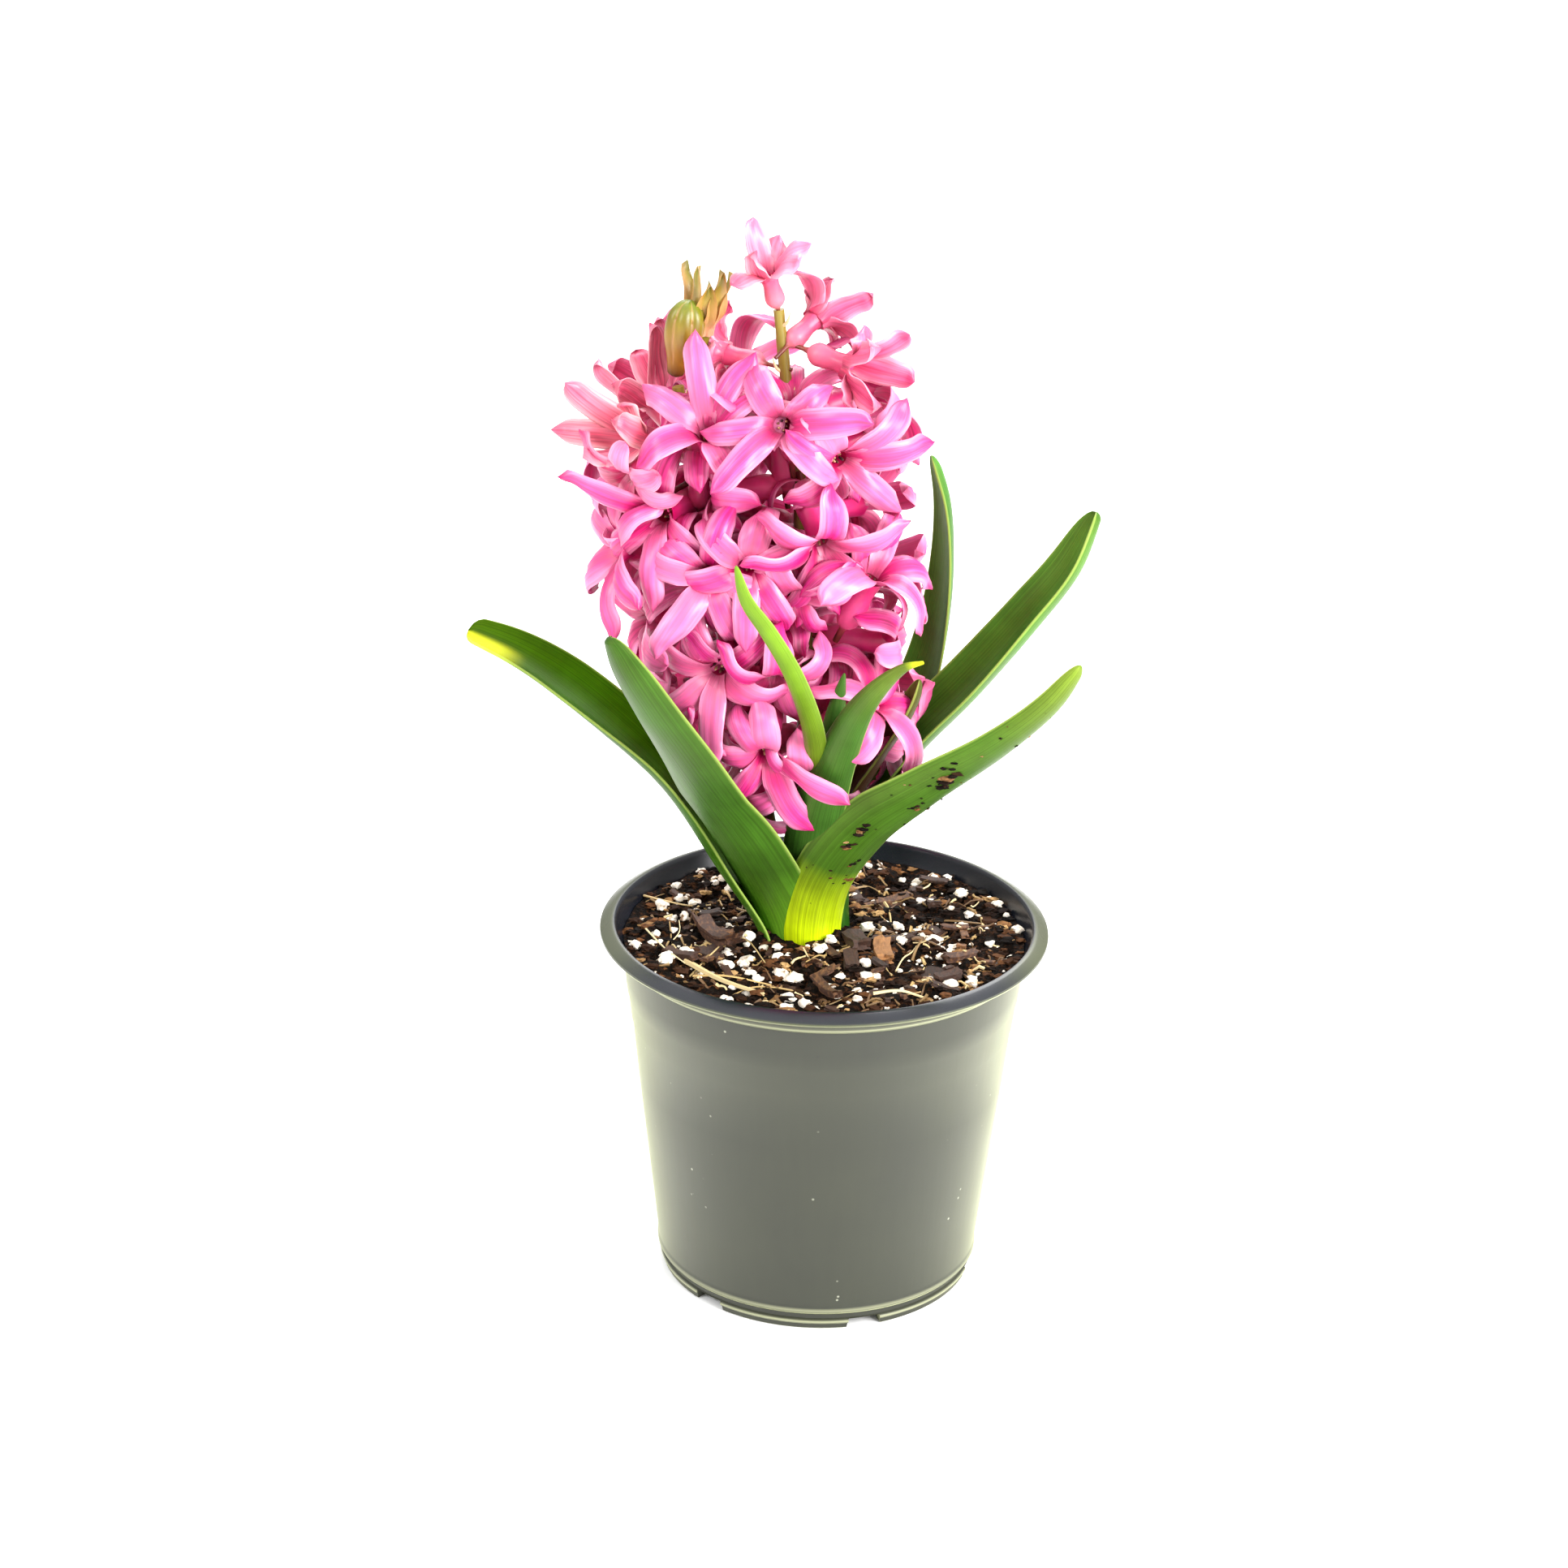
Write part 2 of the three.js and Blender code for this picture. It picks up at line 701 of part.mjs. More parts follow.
// ---------- buds ----------
const buds = [
  { at: [-35.9, 7.6, 215.6], direction: [0.08, -0.1, 1], length: 20, radius: 4.4 },
  { at: [-34.6, 8.8, 215.6], direction: [0.25, 0.12, 1], length: 25, radius: 3.6 },
  { at: [-34, 9.6, 216], direction: [0.52, 0.22, 1], length: 25, radius: 2.6 },
];

function budsSolid() {
  const solids = buds.map((bud) => {
    const profile = [
      [0, -1.6],
      [1.6, 0],
      [bud.radius, bud.length * 0.4],
      [bud.radius * 0.75, bud.length * 0.8],
      [0, bud.length],
    ].map(([r, z]) => new THREE.Vector2(r, z));
    const frame = frameAt(vector(...bud.at), vector(...bud.direction), 0);
    return solidOf(new THREE.LatheGeometry(profile, 6).rotateX(Math.PI / 2), frame);
  });
  const tipCup = stemSolid(scapes.side, 0.975, 1.02, 1.1, 6, 1);
  return joined([...solids, tipCup]);
}

// ---------- potting mix ----------
// the plain hole that the leaves and scapes stand in
function shootHole() {
  const depth = 24;
  return solidOf(
    new THREE.CylinderGeometry(shoot.hole, shoot.hole, depth, 16)
      .rotateX(Math.PI / 2)
      .translate(shoot.x, shoot.y, bulb.top - 6 + depth / 2),
  );
}

function soilSolid(cutters) {
  const rows = [
    [0, pot.floorTop + gap],
    [pot.bottomRadius - pot.wall - 1.3 - gap, pot.floorTop + gap],
    [pot.bottomRadius - pot.wall - gap, pot.bottomZ + 0.2],
    [wallRadius(soil.surface) - pot.wall - gap - 0.1, soil.surface - 1.2],
    ...soil.rings.map((r) => [r, soil.surface]),
    [0, soil.surface],
  ].map(([r, z]) => new THREE.Vector2(r, z));
  const body = new THREE.LatheGeometry(rows, soil.segments).rotateX(Math.PI / 2);
  const position = body.attributes.position;
  for (let i = 0; i < position.count; i++) {
    const x = position.getX(i);
    const y = position.getY(i);
    const z = position.getZ(i);
    if (z < soil.surface - 0.1) continue;
    const lumps = Math.sin(x * 0.31 + 1.3) * Math.cos(y * 0.27) + 0.6 * Math.sin(x * 0.74 - y * 0.61);
    position.setZ(i, z + soil.relief * lumps * 0.7);
  }
  const draw = drawsFrom(41);
  const spot = (reach) => {
    for (;;) {
      const angle = draw() * 2 * Math.PI;
      const r = Math.sqrt(draw()) * reach;
      const point = vector(r * Math.cos(angle), r * Math.sin(angle), soil.surface);
      if (Math.hypot(point.x - shoot.x, point.y - shoot.y) > 15) return point;
    }
  };
  const bits = [solidOf(body)];
  for (let i = 0; i < soil.perlite; i++) {
    const radius = 1.2 + 1.6 * draw() * draw();
    const place = spot(wallRadius(soil.surface) - 6);
    const lump = new THREE.IcosahedronGeometry(radius, 0)
      .rotateX(draw() * 3)
      .rotateY(draw() * 3)
      .scale(1, 1, 0.85)
      .translate(place.x, place.y, place.z + radius * 0.1);
    bits.push(solidOf(lump));
  }
  for (let i = 0; i < soil.bark; i++) {
    const place = spot(wallRadius(soil.surface) - 9);
    const chip = new THREE.BoxGeometry(5 + 5 * draw(), 2 + 1.5 * draw(), 2.4)
      .rotateY((draw() - 0.5) * 0.5)
      .rotateZ(draw() * Math.PI)
      .translate(place.x, place.y, place.z + 0.2);
    bits.push(solidOf(chip));
  }
  return mainBody(clearanceOf(joined(bits), cutters));
}

// ---------- assembly ----------
const group = new THREE.Group();

const scapeSolids = {
  scape_main: stemSolid(scapes.main, 0, 1, 0, 7, 8),
  scape_side: stemSolid(scapes.side, 0, 1, 0, 7, 7),
};
const scapeClearance = [
  stemSolid(scapes.main, -0.01, 1.01, gap, 7, 8),
  stemSolid(scapes.side, -0.01, 1.01, gap, 7, 7),
];

const leafSolids = {};
const leafClearance = {};
for (const [name, leaf] of Object.entries(leaves)) {
  const before = [bulbSolid(gap), ...Object.values(leafClearance), ...scapeClearance];
  leafSolids[name] = mainBody(clearanceOf(leafSolid(leaf, 0), before));
  leafClearance[name] = leafSolid(leaf, gap);
}

const looseSolids = {};
const looseClearance = [];
for (const [name, spec] of Object.entries(looseFlorets)) {
  const placed = placedLoose(spec);
  looseSolids[name] = mainBody(
    clearanceOf(floretSolid(placed, 0), [...scapeClearance, ...looseClearance]),
  );
  looseClearance.push(floretSolid(placed, gap));
}

const budCluster = mainBody(clearanceOf(budsSolid(), [...scapeClearance, ...looseClearance]));
const obstacles = [
  ...Object.values(leaves).flatMap((leaf) => leafCurve(leaf).getSpacedPoints(24)),
  ...Object.values(looseFlorets).flatMap((spec) => floretPoints(placedLoose(spec))),
];
const headFlorets = settledFlorets(obstacles);
const cores = [
  stemSolid(scapes.main, partAtHeight(scapes.main, 128), partAtHeight(scapes.main, 210), 1.3, 8, 4),
  stemSolid(scapes.side, partAtHeight(scapes.side, 146), partAtHeight(scapes.side, 209), 1.3, 8, 4),
];
const headUnion = joined([...cores, ...headFlorets.map((spec) => floretSolid(spec, 0))]);
const heads = clearanceOf(headUnion, [
  ...scapeClearance,
  ...Object.values(leafClearance),
  ...looseClearance,
  stemSolid(scapes.side, 0.97, 1.06, 1.5, 8, 1),
]);

const solidParts = {
  nursery_pot: [potSolid(), colours.pot, 0.4],
  potting_mix: [
    soilSolid([bulbSolid(gap), shootHole()]),
    colours.soil,
    0.95,
  ],
  bulb: [bulbSolid(0), colours.bulb, 0.7],
  scape_main: [scapeSolids.scape_main, colours.scape, 0.5],
  scape_side: [scapeSolids.scape_side, colours.scape, 0.5],
};
for (const [name, leaf] of Object.entries(leaves)) {
  solidParts[name] = [leafSolids[name], leaf.colour, 0.45];
}
solidParts.flower_heads = [mainBody(heads), colours.floret, 0.5];
for (const name of Object.keys(looseFlorets)) {
  solidParts[name] = [looseSolids[name], colours.upperFloret, 0.5];
}
solidParts.buds = [budCluster, colours.bud, 0.5];

for (const [name, [solid, colour, roughness]] of Object.entries(solidParts)) {
  group.add(meshOf(name, solid, colour, roughness));
}

export default group;
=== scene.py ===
# Potted hyacinth in a plastic nursery pot. Sizes in the dictionaries are millimetres.
import math

import bpy
import numpy as np
from mathutils import Matrix, Vector, noise


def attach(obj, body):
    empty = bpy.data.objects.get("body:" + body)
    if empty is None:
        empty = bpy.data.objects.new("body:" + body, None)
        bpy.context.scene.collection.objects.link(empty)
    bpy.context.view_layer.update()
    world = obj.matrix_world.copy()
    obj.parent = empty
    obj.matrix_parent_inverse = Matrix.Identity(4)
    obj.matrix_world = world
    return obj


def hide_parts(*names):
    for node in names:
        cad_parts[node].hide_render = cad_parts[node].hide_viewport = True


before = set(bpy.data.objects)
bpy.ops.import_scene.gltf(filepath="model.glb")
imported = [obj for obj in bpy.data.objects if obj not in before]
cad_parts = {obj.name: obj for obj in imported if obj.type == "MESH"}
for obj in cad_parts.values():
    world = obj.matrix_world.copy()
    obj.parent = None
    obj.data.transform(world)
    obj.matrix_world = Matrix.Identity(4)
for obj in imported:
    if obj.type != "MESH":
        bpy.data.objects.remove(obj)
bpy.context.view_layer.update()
mm = 0.001
print("frame loaded:", len(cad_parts), "nodes")


# small tools that every piece uses
def mix(a, b, t):
    return a + (b - a) * t


def smooth(low, high, value):
    part = np.clip((value - low) / (high - low), 0, 1)
    return part * part * (3 - 2 * part)


def unit(vectors):
    return vectors / np.linalg.norm(vectors, axis=-1, keepdims=True)


# the way something looks, from degrees round and degrees up
def heading(azimuth, rise=0.0):
    azimuth, rise = math.radians(azimuth), math.radians(rise)
    return np.array([math.cos(azimuth) * math.cos(rise), math.sin(azimuth) * math.cos(rise), math.sin(rise)])


def camelName(node):
    first, *others = node.split("_")
    return first + "".join(word.capitalize() for word in others)


def linear(hexText, alpha=1.0):
    channels = [int(hexText[i:i + 2], 16) / 255 for i in (1, 3, 5)]
    bent = [c / 12.92 if c <= 0.04045 else ((c + 0.055) / 1.055) ** 2.4 for c in channels]
    return (*bent, alpha)


def deselectAll():
    if bpy.context.object and bpy.context.object.mode != "OBJECT":
        bpy.ops.object.mode_set(mode="OBJECT")
    bpy.ops.object.select_all(action="DESELECT")


def makeActive(piece):
    deselectAll()
    piece.select_set(True)
    bpy.context.view_layer.objects.active = piece


def pointsOf(piece):
    points = np.empty(len(piece.data.vertices) * 3, np.float32)
    piece.data.vertices.foreach_get("co", points)
    return points.reshape(-1, 3).astype(float) / mm


def setPoints(piece, points):
    piece.data.vertices.foreach_set("co", (points * mm).astype(np.float32).ravel())
    piece.data.update()


def mark(piece, name, values):
    attribute = piece.data.attributes.get(name) or piece.data.attributes.new(name, "FLOAT", "POINT")
    spread = np.broadcast_to(np.asarray(values, np.float32), len(piece.data.vertices))
    attribute.data.foreach_set("value", np.ascontiguousarray(spread))


def copyOf(piece, name):
    twin = piece.copy()
    twin.data = piece.data.copy()
    twin.name = name
    bpy.context.collection.objects.link(twin)
    return twin


def remove(piece):
    bpy.data.objects.remove(piece, do_unlink=True)


def joinAs(name, pieces):
    deselectAll()
    for piece in pieces:
        piece.select_set(True)
    bpy.context.view_layer.objects.active = pieces[0]
    if len(pieces) > 1:
        bpy.ops.object.join()
    whole = bpy.context.view_layer.objects.active
    whole.name = name
    whole.data.name = name
    return whole


def applyModifiers(piece):
    makeActive(piece)
    for modifier in list(piece.modifiers):
        bpy.ops.object.modifier_apply(modifier=modifier.name)


def mended(piece, distance=0.01):
    # doubles merged, then faces turned outwards
    makeActive(piece)
    bpy.ops.object.mode_set(mode="EDIT")
    bpy.ops.mesh.select_all(action="SELECT")
    bpy.ops.mesh.remove_doubles(threshold=distance * mm)
    bpy.ops.mesh.normals_make_consistent(inside=False)
    bpy.ops.object.mode_set(mode="OBJECT")
    return piece


def coat(piece, *materials):
    for material in materials:
        piece.data.materials.append(material)


def softShaded(piece, degrees=40):
    makeActive(piece)
    bpy.ops.object.shade_smooth_by_angle(angle=math.radians(degrees))
    return piece


def turned(name, profile, steps):
    # a line of points (radius, height) spun about the upright axis
    deselectAll()
    bpy.ops.mesh.primitive_plane_add(size=mm, location=(0, 0, 0))
    piece = bpy.context.object
    piece.name = name
    bpy.ops.object.mode_set(mode="EDIT")
    bpy.ops.mesh.select_all(action="SELECT")
    bpy.ops.mesh.merge(type="CENTER")
    start = (profile[0][0] * mm, 0, profile[0][1] * mm)
    bpy.ops.transform.translate(value=start)
    for (r0, z0), (r1, z1) in zip(profile, profile[1:]):
        step = ((r1 - r0) * mm, 0, (z1 - z0) * mm)
        bpy.ops.mesh.extrude_region_move(TRANSFORM_OT_translate={"value": step})
    bpy.ops.mesh.select_all(action="SELECT")
    bpy.ops.mesh.spin(steps=steps, angle=2 * math.pi, center=(0, 0, 0), axis=(0, 0, 1))
    bpy.ops.object.mode_set(mode="OBJECT")
    return mended(piece)


def finished(piece, slot, *nodes):
    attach(piece, "root")
    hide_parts(*nodes)
    print(piece.name, "has", sum(len(p.vertices) - 2 for p in piece.data.polygons), "triangles")


# settings and links of a node: "stops" fills a colour ramp, and a link comes from a node's usual output
usualOutput = {"ShaderNodeAttribute": "Fac", "ShaderNodeMix": 2, "ShaderNodeTexCoord": "Object"}
tinting = {"data_type": "RGBA", "blend_type": "MULTIPLY", 0: 1.0}


def setNode(node, settings=None, links=None):
    for name, value in (settings or {}).items():
        if name == "stops":
            stops = node.color_ramp.elements
            while len(stops) < len(value):
                stops.new(0.5)
            for stop, (place, colour) in zip(stops, value):
                stop.position = place
                stop.color = colour
        elif isinstance(name, int) or name in node.inputs:
            node.inputs[name].default_value = value
        else:
            setattr(node, name, value)
    for name, source in (links or {}).items():
        if isinstance(source, bpy.types.Node):
            source = source.outputs[usualOutput.get(source.bl_idname, 0)]
        node.id_data.links.new(source, node.inputs[name])


def addNode(material, kind, settings=None, links=None):
    node = material.node_tree.nodes.new("ShaderNode" + kind)
    setNode(node, settings, links)
    return node


# a colour made darker and lighter by a noise, between two tones
def mottled(material, colour, pattern, dark, light, low=0.3, high=0.7):
    tone = addNode(material, "ValToRGB", {"stops": grey((low, dark), (high, light))}, {"Fac": pattern})
    return addNode(material, "Mix", tinting, {6: colour, 7: tone})


def newMaterial(name):
    material = bpy.data.materials.new(name)
    material.use_nodes = True
    return material, material.node_tree.nodes["Principled BSDF"]


def ramp(*stops):
    return [(place, linear(colour)) for place, colour in stops]


def grey(*stops):
    return [(place, (value, value, value, 1)) for place, value in stops]


# camera, floor and light
view = {
    "lookAt": (-10.08, 0, 122.24),
    "distance": 800,
    "elevation": 22.43,
    "roll": 1.19,
    "lens": 79.77,
}
elevation = math.radians(view["elevation"])
roll = math.radians(view["roll"])
forward = Vector((0, math.cos(elevation), -math.sin(elevation)))
level = Vector((1, 0, 0))
upward = level.cross(forward)
right = level * math.cos(roll) + upward * math.sin(roll)
top = upward * math.cos(roll) - level * math.sin(roll)
place = (Vector(view["lookAt"]) - forward * view["distance"]) * mm
bpy.ops.object.camera_add(location=place)
camera = bpy.context.object
camera.matrix_world = Matrix((
    (right.x, top.x, -forward.x, place.x),
    (right.y, top.y, -forward.y, place.y),
    (right.z, top.z, -forward.z, place.z),
    (0, 0, 0, 1),
))
camera.data.lens = view["lens"]
camera.data.sensor_width = 36
camera.data.clip_end = 50
bpy.context.scene.camera = camera
bpy.context.scene.view_settings.view_transform = "Standard"

studio = {
    "world": (0.45, 1.8),  # round the sides and overhead
    "horizon": 1.0,  # white where the floor ends
    "floorSize": 16,
    # soft lights: where each stands, its width and its power (these and the floor in metres)
    "lights": [
        ((0.85, -0.75, 0.6), 0.7, 32.0),
        ((-0.85, -0.6, 0.8), 0.5, 8.0),
        ((0.1, 0.8, 0.95), 0.8, 12.0),
    ],
}
world = bpy.data.worlds.new("studio")
bpy.context.scene.world = world
world.use_nodes = True
aim = addNode(world, "TexCoord").outputs["Generated"]
height = addNode(world, "SeparateXYZ", None, {"Vector": aim})
low, high = studio["world"]
glow = addNode(
    world, "MapRange", {"From Min": 0.1, "From Max": 0.8, "To Min": low, "To Max": high},
    {"Value": height.outputs["Z"]},
)
horizon = addNode(
    world, "MapRange", {"From Min": 0.03, "From Max": 0.1, "To Min": studio["horizon"], "To Max": 0.0},
    {"Value": height.outputs["Z"]},
)
brighter = addNode(world, "Math", {"operation": "MAXIMUM"}, {0: glow, 1: horizon})
setNode(world.node_tree.nodes["Background"], {"Color": (1, 1, 1, 1)}, {"Strength": brighter})
for number, (spot, width, power) in enumerate(studio["lights"]):
    bpy.ops.object.light_add(type="AREA", location=spot)
    light = bpy.context.object
    light.name = "softLight" + str(number)
    light.data.size = width
    light.data.energy = power
    aim = Vector((0, 0, 0.12)) - Vector(spot)
    light.rotation_euler = aim.to_track_quat("-Z", "Y").to_euler()

deselectAll()
bpy.ops.mesh.primitive_plane_add(size=studio["floorSize"], location=(0, 0, 0))
floor = bpy.context.object
floor.name = "floor"
# matt painted board, nearly white
floorPaint, floorShader = newMaterial("paintedBoard")
floorGrain = addNode(floorPaint, "TexNoise", {"Scale": 3.0, "Detail": 2.0})
floorTone = addNode(
    floorPaint, "ValToRGB", {"stops": ramp((0.3, "#F7F7F6"), (0.7, "#FAFAF9"))}, {"Fac": floorGrain},
)
setNode(floorShader, {"Roughness": 0.9}, {"Base Color": floorTone})
coat(floor, floorPaint)
print("camera, floor and light made")


# curves, as the solids have them
def curveThrough(points):
    points = np.array(points, float)
    first = 2 * points[0] - points[1]
    last = 2 * points[-1] - points[-2]
    curve = {"knots": np.vstack([first, points, last])}
    steps = np.linspace(0, 1, 201)
    path = knotPoint(curve, steps)
    lengths = np.linalg.norm(np.diff(path, axis=0), axis=1)
    curve["parts"] = steps
    curve["lengths"] = np.concatenate([[0], np.cumsum(lengths)])
    return curve


def knotPoint(curve, t):
    knots = curve["knots"]
    spans = len(knots) - 3
    place = np.atleast_1d(t) * spans
    span = np.clip(np.floor(place).astype(int), 0, spans - 1)
    w = (place - span)[:, None]
    p0, p1, p2, p3 = (knots[span + k] for k in range(4))
    d0, d1, d2 = (
        np.sum((b - a) ** 2, axis=1, keepdims=True) ** 0.25 for a, b in ((p0, p1), (p1, p2), (p2, p3))
    )
    leave = ((p1 - p0) / d0 - (p2 - p0) / (d0 + d1) + (p2 - p1) / d1) * d1
    arrive = ((p2 - p1) / d1 - (p3 - p1) / (d1 + d2) + (p3 - p2) / d2) * d1
    square = -3 * p1 + 3 * p2 - 2 * leave - arrive
    cube = 2 * p1 - 2 * p2 + leave + arrive
    return p1 + leave * w + square * w ** 2 + cube * w ** 3


def knotPart(curve, part):
    return np.interp(np.atleast_1d(part) * curve["lengths"][-1], curve["lengths"], curve["parts"])


def pointAt(curve, part):
    return knotPoint(curve, knotPart(curve, part))


def tangentAt(curve, part):
    t = knotPart(curve, part)
    ahead = knotPoint(curve, np.minimum(t + 1e-4, 1))
    behind = knotPoint(curve, np.maximum(t - 1e-4, 0))
    return unit(ahead - behind)


def partAtHeight(curve, z):
    low, high = 0.0, 1.0
    for _ in range(24):
        middle = (low + high) / 2
        if pointAt(curve, middle)[0, 2] < z:
            low = middle
        else:
            high = middle
    return (low + high) / 2


def drawsFrom(seed):
    state = seed
    while True:
        state = (state * 1664525 + 1013904223) % 4294967296
        yield state / 4294967296


def frameAt(point, direction, roll):
    axis = unit(np.array(direction, float))
    upright = np.array([1.0, 0, 0]) if abs(axis[2]) > 0.95 else np.array([0, 0, 1.0])
    side = unit(np.cross(upright, axis))
    up = np.cross(axis, side)
    across = side * math.cos(roll) + up * math.sin(roll)
    return np.array([across, np.cross(axis, across), axis]), np.array(point, float)


def placed(points, placing):
    axes, origin = placing
    return points @ axes + origin


# the pot
pot = {
    "wall": 1.0,
    "topRadius": 47.1,
    "topZ": 82,
    "bottomRadius": 38.4,
    "bottomZ": 8,
    "ledges": (64.5, 71.5),  # faint steps where one pot stops in the next
    "ledge": 0.22,
    "feet": 6,
    "footGap": 8.4,
    "gapHeight": 2.7,
    "firstGap": -72.5,
    "notchAt": 35.5,
    "notchDeep": 8,
    "floorZ": 4.5,
    "lipZ": 86.3,
    "drainRadius": 3.4,
    "drainAt": 28.5,
    "steps": 180,
}
potColours = {
    "wall": "#1C1E15",
    "wallPale": "#232519",
    "lip": "#10131A",
    "lipPaintedReflection": "#4A4E36",
    "dust": "#8E8F7E",
    "scuff": "#171814",
    "wear": "#8F9172",
}


def potWall(z):
    return mix(pot["bottomRadius"], pot["topRadius"], (z - pot["bottomZ"]) / (pot["topZ"] - pot["bottomZ"]))


def makePot():
    line = [(0, 0), (6.6, 0), (7.0, 0.3), (7.5, 2.5), (7.9, 2.8), (33.9, 2.8), (34.2, 0.4), (34.5, 0)]
    # foot, lower bead, the band between, upper bead
    line += [(36.8, 0), (37.2, 0.3), (37.3, 1.4), (37.7, 1.7), (37.85, 2.15), (37.7, 2.6), (37.25, 2.9)]
    line += [(37.2, 3.3), (37.3, 4.2), (38.0, 4.5), (38.45, 5.0), (38.5, 5.5), (38.3, 6.1), (38.3, 7)]
    line += [(potWall(z), z) for z in (20, 35, 50)]
    for number, z in enumerate(pot["ledges"]):
        line.append((potWall(z - 0.5) + pot["ledge"] * (number - 1), z - 0.5))
        line.append((potWall(z) + pot["ledge"] * number, z))
    line += [(potWall(z) + pot["ledge"], z) for z in (76, 82)]
    # a thin raised line, the flare, then the rolled lip
    line += [(47.75, 82.4), (47.95, 82.75), (47.9, 83.1), (48.1, 83.9), (48.8, 84.8), (50.0, 85.3)]
    line += [(51.4, 85.55), (52.1, 85.85), (52.5, 86.35), (52.4, 86.8), (51.9, 87.15), (51.0, 87.6)]
    line += [(50.2, 88.0), (49.6, 88.2), (49.1, 88.2), (48.75, 87.9), (48.5, 87.1), (48.0, 85.6)]
    line += [(47.2, 83.8), (46.5, 82.4)] + [(potWall(z) - pot["wall"], z) for z in (80, 70, 50, 30, 12, 8)]
    line += [(36.9, 5.6), (36.2, 4.2), (0, 4.0)]
    body = turned("pot", line, pot["steps"])
    cutters = []
    for foot in range(pot["feet"]):
        angle = math.radians(pot["firstGap"] + foot * 360 / pot["feet"])
        outward = Vector((math.cos(angle), math.sin(angle), 0))
        deselectAll()
        bpy.ops.mesh.primitive_cube_add(
            size=1, location=outward * pot["notchAt"] * mm, rotation=(0, 0, angle),
        )
        notch = bpy.context.object
        notch.scale = (pot["notchDeep"] * mm, pot["footGap"] * mm, 2 * pot["gapHeight"] * mm)
        for corner in notch.data.vertices:
            corner.co.y *= 0.9 if corner.co.z > 0 else 1.1
        bpy.ops.mesh.primitive_cylinder_add(
            vertices=32, radius=pot["drainRadius"] * mm, depth=6 * mm,
            location=outward * pot["drainAt"] * mm + Vector((0, 0, 3 * mm)),
        )
        cutters += [notch, bpy.context.object]
    for cutter in cutters:
        makeActive(body)
        cut = body.modifiers.new("cut", "BOOLEAN")
        cut.operation = "DIFFERENCE"
        cut.object = cutter
        bpy.ops.object.modifier_apply(modifier="cut")
        remove(cutter)
    mended(body, 0.002)
    points = pointsOf(body)
    normals = np.array([vertex.normal for vertex in body.data.vertices])
    radius = np.maximum(np.hypot(points[:, 0], points[:, 1]), 1)
    facing = (normals[:, 0] * points[:, 0] + normals[:, 1] * points[:, 1]) / radius
    # painted shade: the inside and the top of the lip towards the front are painted near black; towards the
    # sides and back the lip top is painted paler olive, a painted reflection
    front = smooth(0.3, 0.7, -points[:, 1] / radius)
    above = smooth(pot["lipZ"], pot["lipZ"] + 0.6, points[:, 2])
    inside = (facing < 0.1) & (points[:, 2] > pot["floorZ"])
    mark(body, "shade", np.where(inside, 1, above * mix(0.2, 1, front)))
    # painted highlight: paler where light catches the tops of both beads and the thin raised line under the
    # flare, on the outer faces only
    worn = sum(np.exp(-(((points[:, 2] - z) / 0.28) ** 2)) for z in (2.15, 5.3, 82.75))
    mark(body, "worn", np.where(facing > 0.1, worn, 0))
    return softShaded(body, 35)


# injection moulded polypropylene, dark with an olive cast: a soft sheen, fine flow marks, dust
def potPlastic():
    material, shader = newMaterial("mouldedPolypropylene")
    where = addNode(material, "TexCoord")
    cloud = addNode(material, "TexNoise", {"Scale": 38.0, "Detail": 4.0}, {"Vector": where})
    # flow marks stretch upwards: about 2 mm across and 40 mm tall
    tall = addNode(material, "Mapping", {"Scale": (480, 480, 24)}, {"Vector": where})
    flow = addNode(material, "TexNoise", {"Scale": 1.0, "Detail": 3.0}, {"Vector": tall})
    tone = addNode(
        material, "ValToRGB", {"stops": ramp((0.3, potColours["wall"]), (0.75, potColours["wallPale"]))},
        {"Fac": cloud},
    )
    body = mottled(material, tone, flow, 0.96, 1.03, 0.35)
    # dust specks about half a millimetre wide, and darker scuffs
    speck = addNode(material, "TexVoronoi", {"Scale": 330.0}, {"Vector": where})
    rare = addNode(material, "TexNoise", {"Scale": 95.0, "Detail": 2.0}, {"Vector": where})
    dot = addNode(material, "ValToRGB", {"stops": grey((0.06, 1), (0.13, 0))}, {"Fac": speck})
    here = addNode(material, "ValToRGB", {"stops": grey((0.60, 0), (0.66, 1))}, {"Fac": rare})
    dusty = addNode(material, "Math", {"operation": "MULTIPLY"}, {0: dot, 1: here})
    withDust = addNode(
        material, "Mix", {"data_type": "RGBA", 7: linear(potColours["dust"])}, {0: dusty, 6: body},
    )
    there = addNode(material, "ValToRGB", {"stops": grey((0.30, 1), (0.36, 0))}, {"Fac": rare})
    scuffed = addNode(material, "Math", {"operation": "MULTIPLY"}, {0: dot, 1: there})
    withScuff = addNode(
        material, "Mix", {"data_type": "RGBA", 7: linear(potColours["scuff"])}, {0: scuffed, 6: withDust},
    )
    # painted highlight along the bead tops and the thin line under the flare
    worn = addNode(material, "Attribute", {"attribute_name": "worn"})
    withEdgeHighlight = addNode(
        material, "Mix", {"data_type": "RGBA", 7: linear(potColours["wear"])}, {0: worn, 6: withScuff},
    )
    rough = addNode(material, "ValToRGB", {"stops": grey((0.3, 0.34), (0.7, 0.42))}, {"Fac": cloud})
    bump = addNode(material, "Bump", {"Strength": 0.06, "Distance": 0.0002}, {"Height": flow})
    # dust on the wall lights up along the sides
    setNode(
        shader, {"IOR": 1.5, "Sheen Weight": 0.8, "Sheen Roughness": 0.38, "Sheen Tint": linear("#D6DAA6")},
        {"Base Color": withEdgeHighlight, "Roughness": rough, "Normal": bump},
    )
    return material
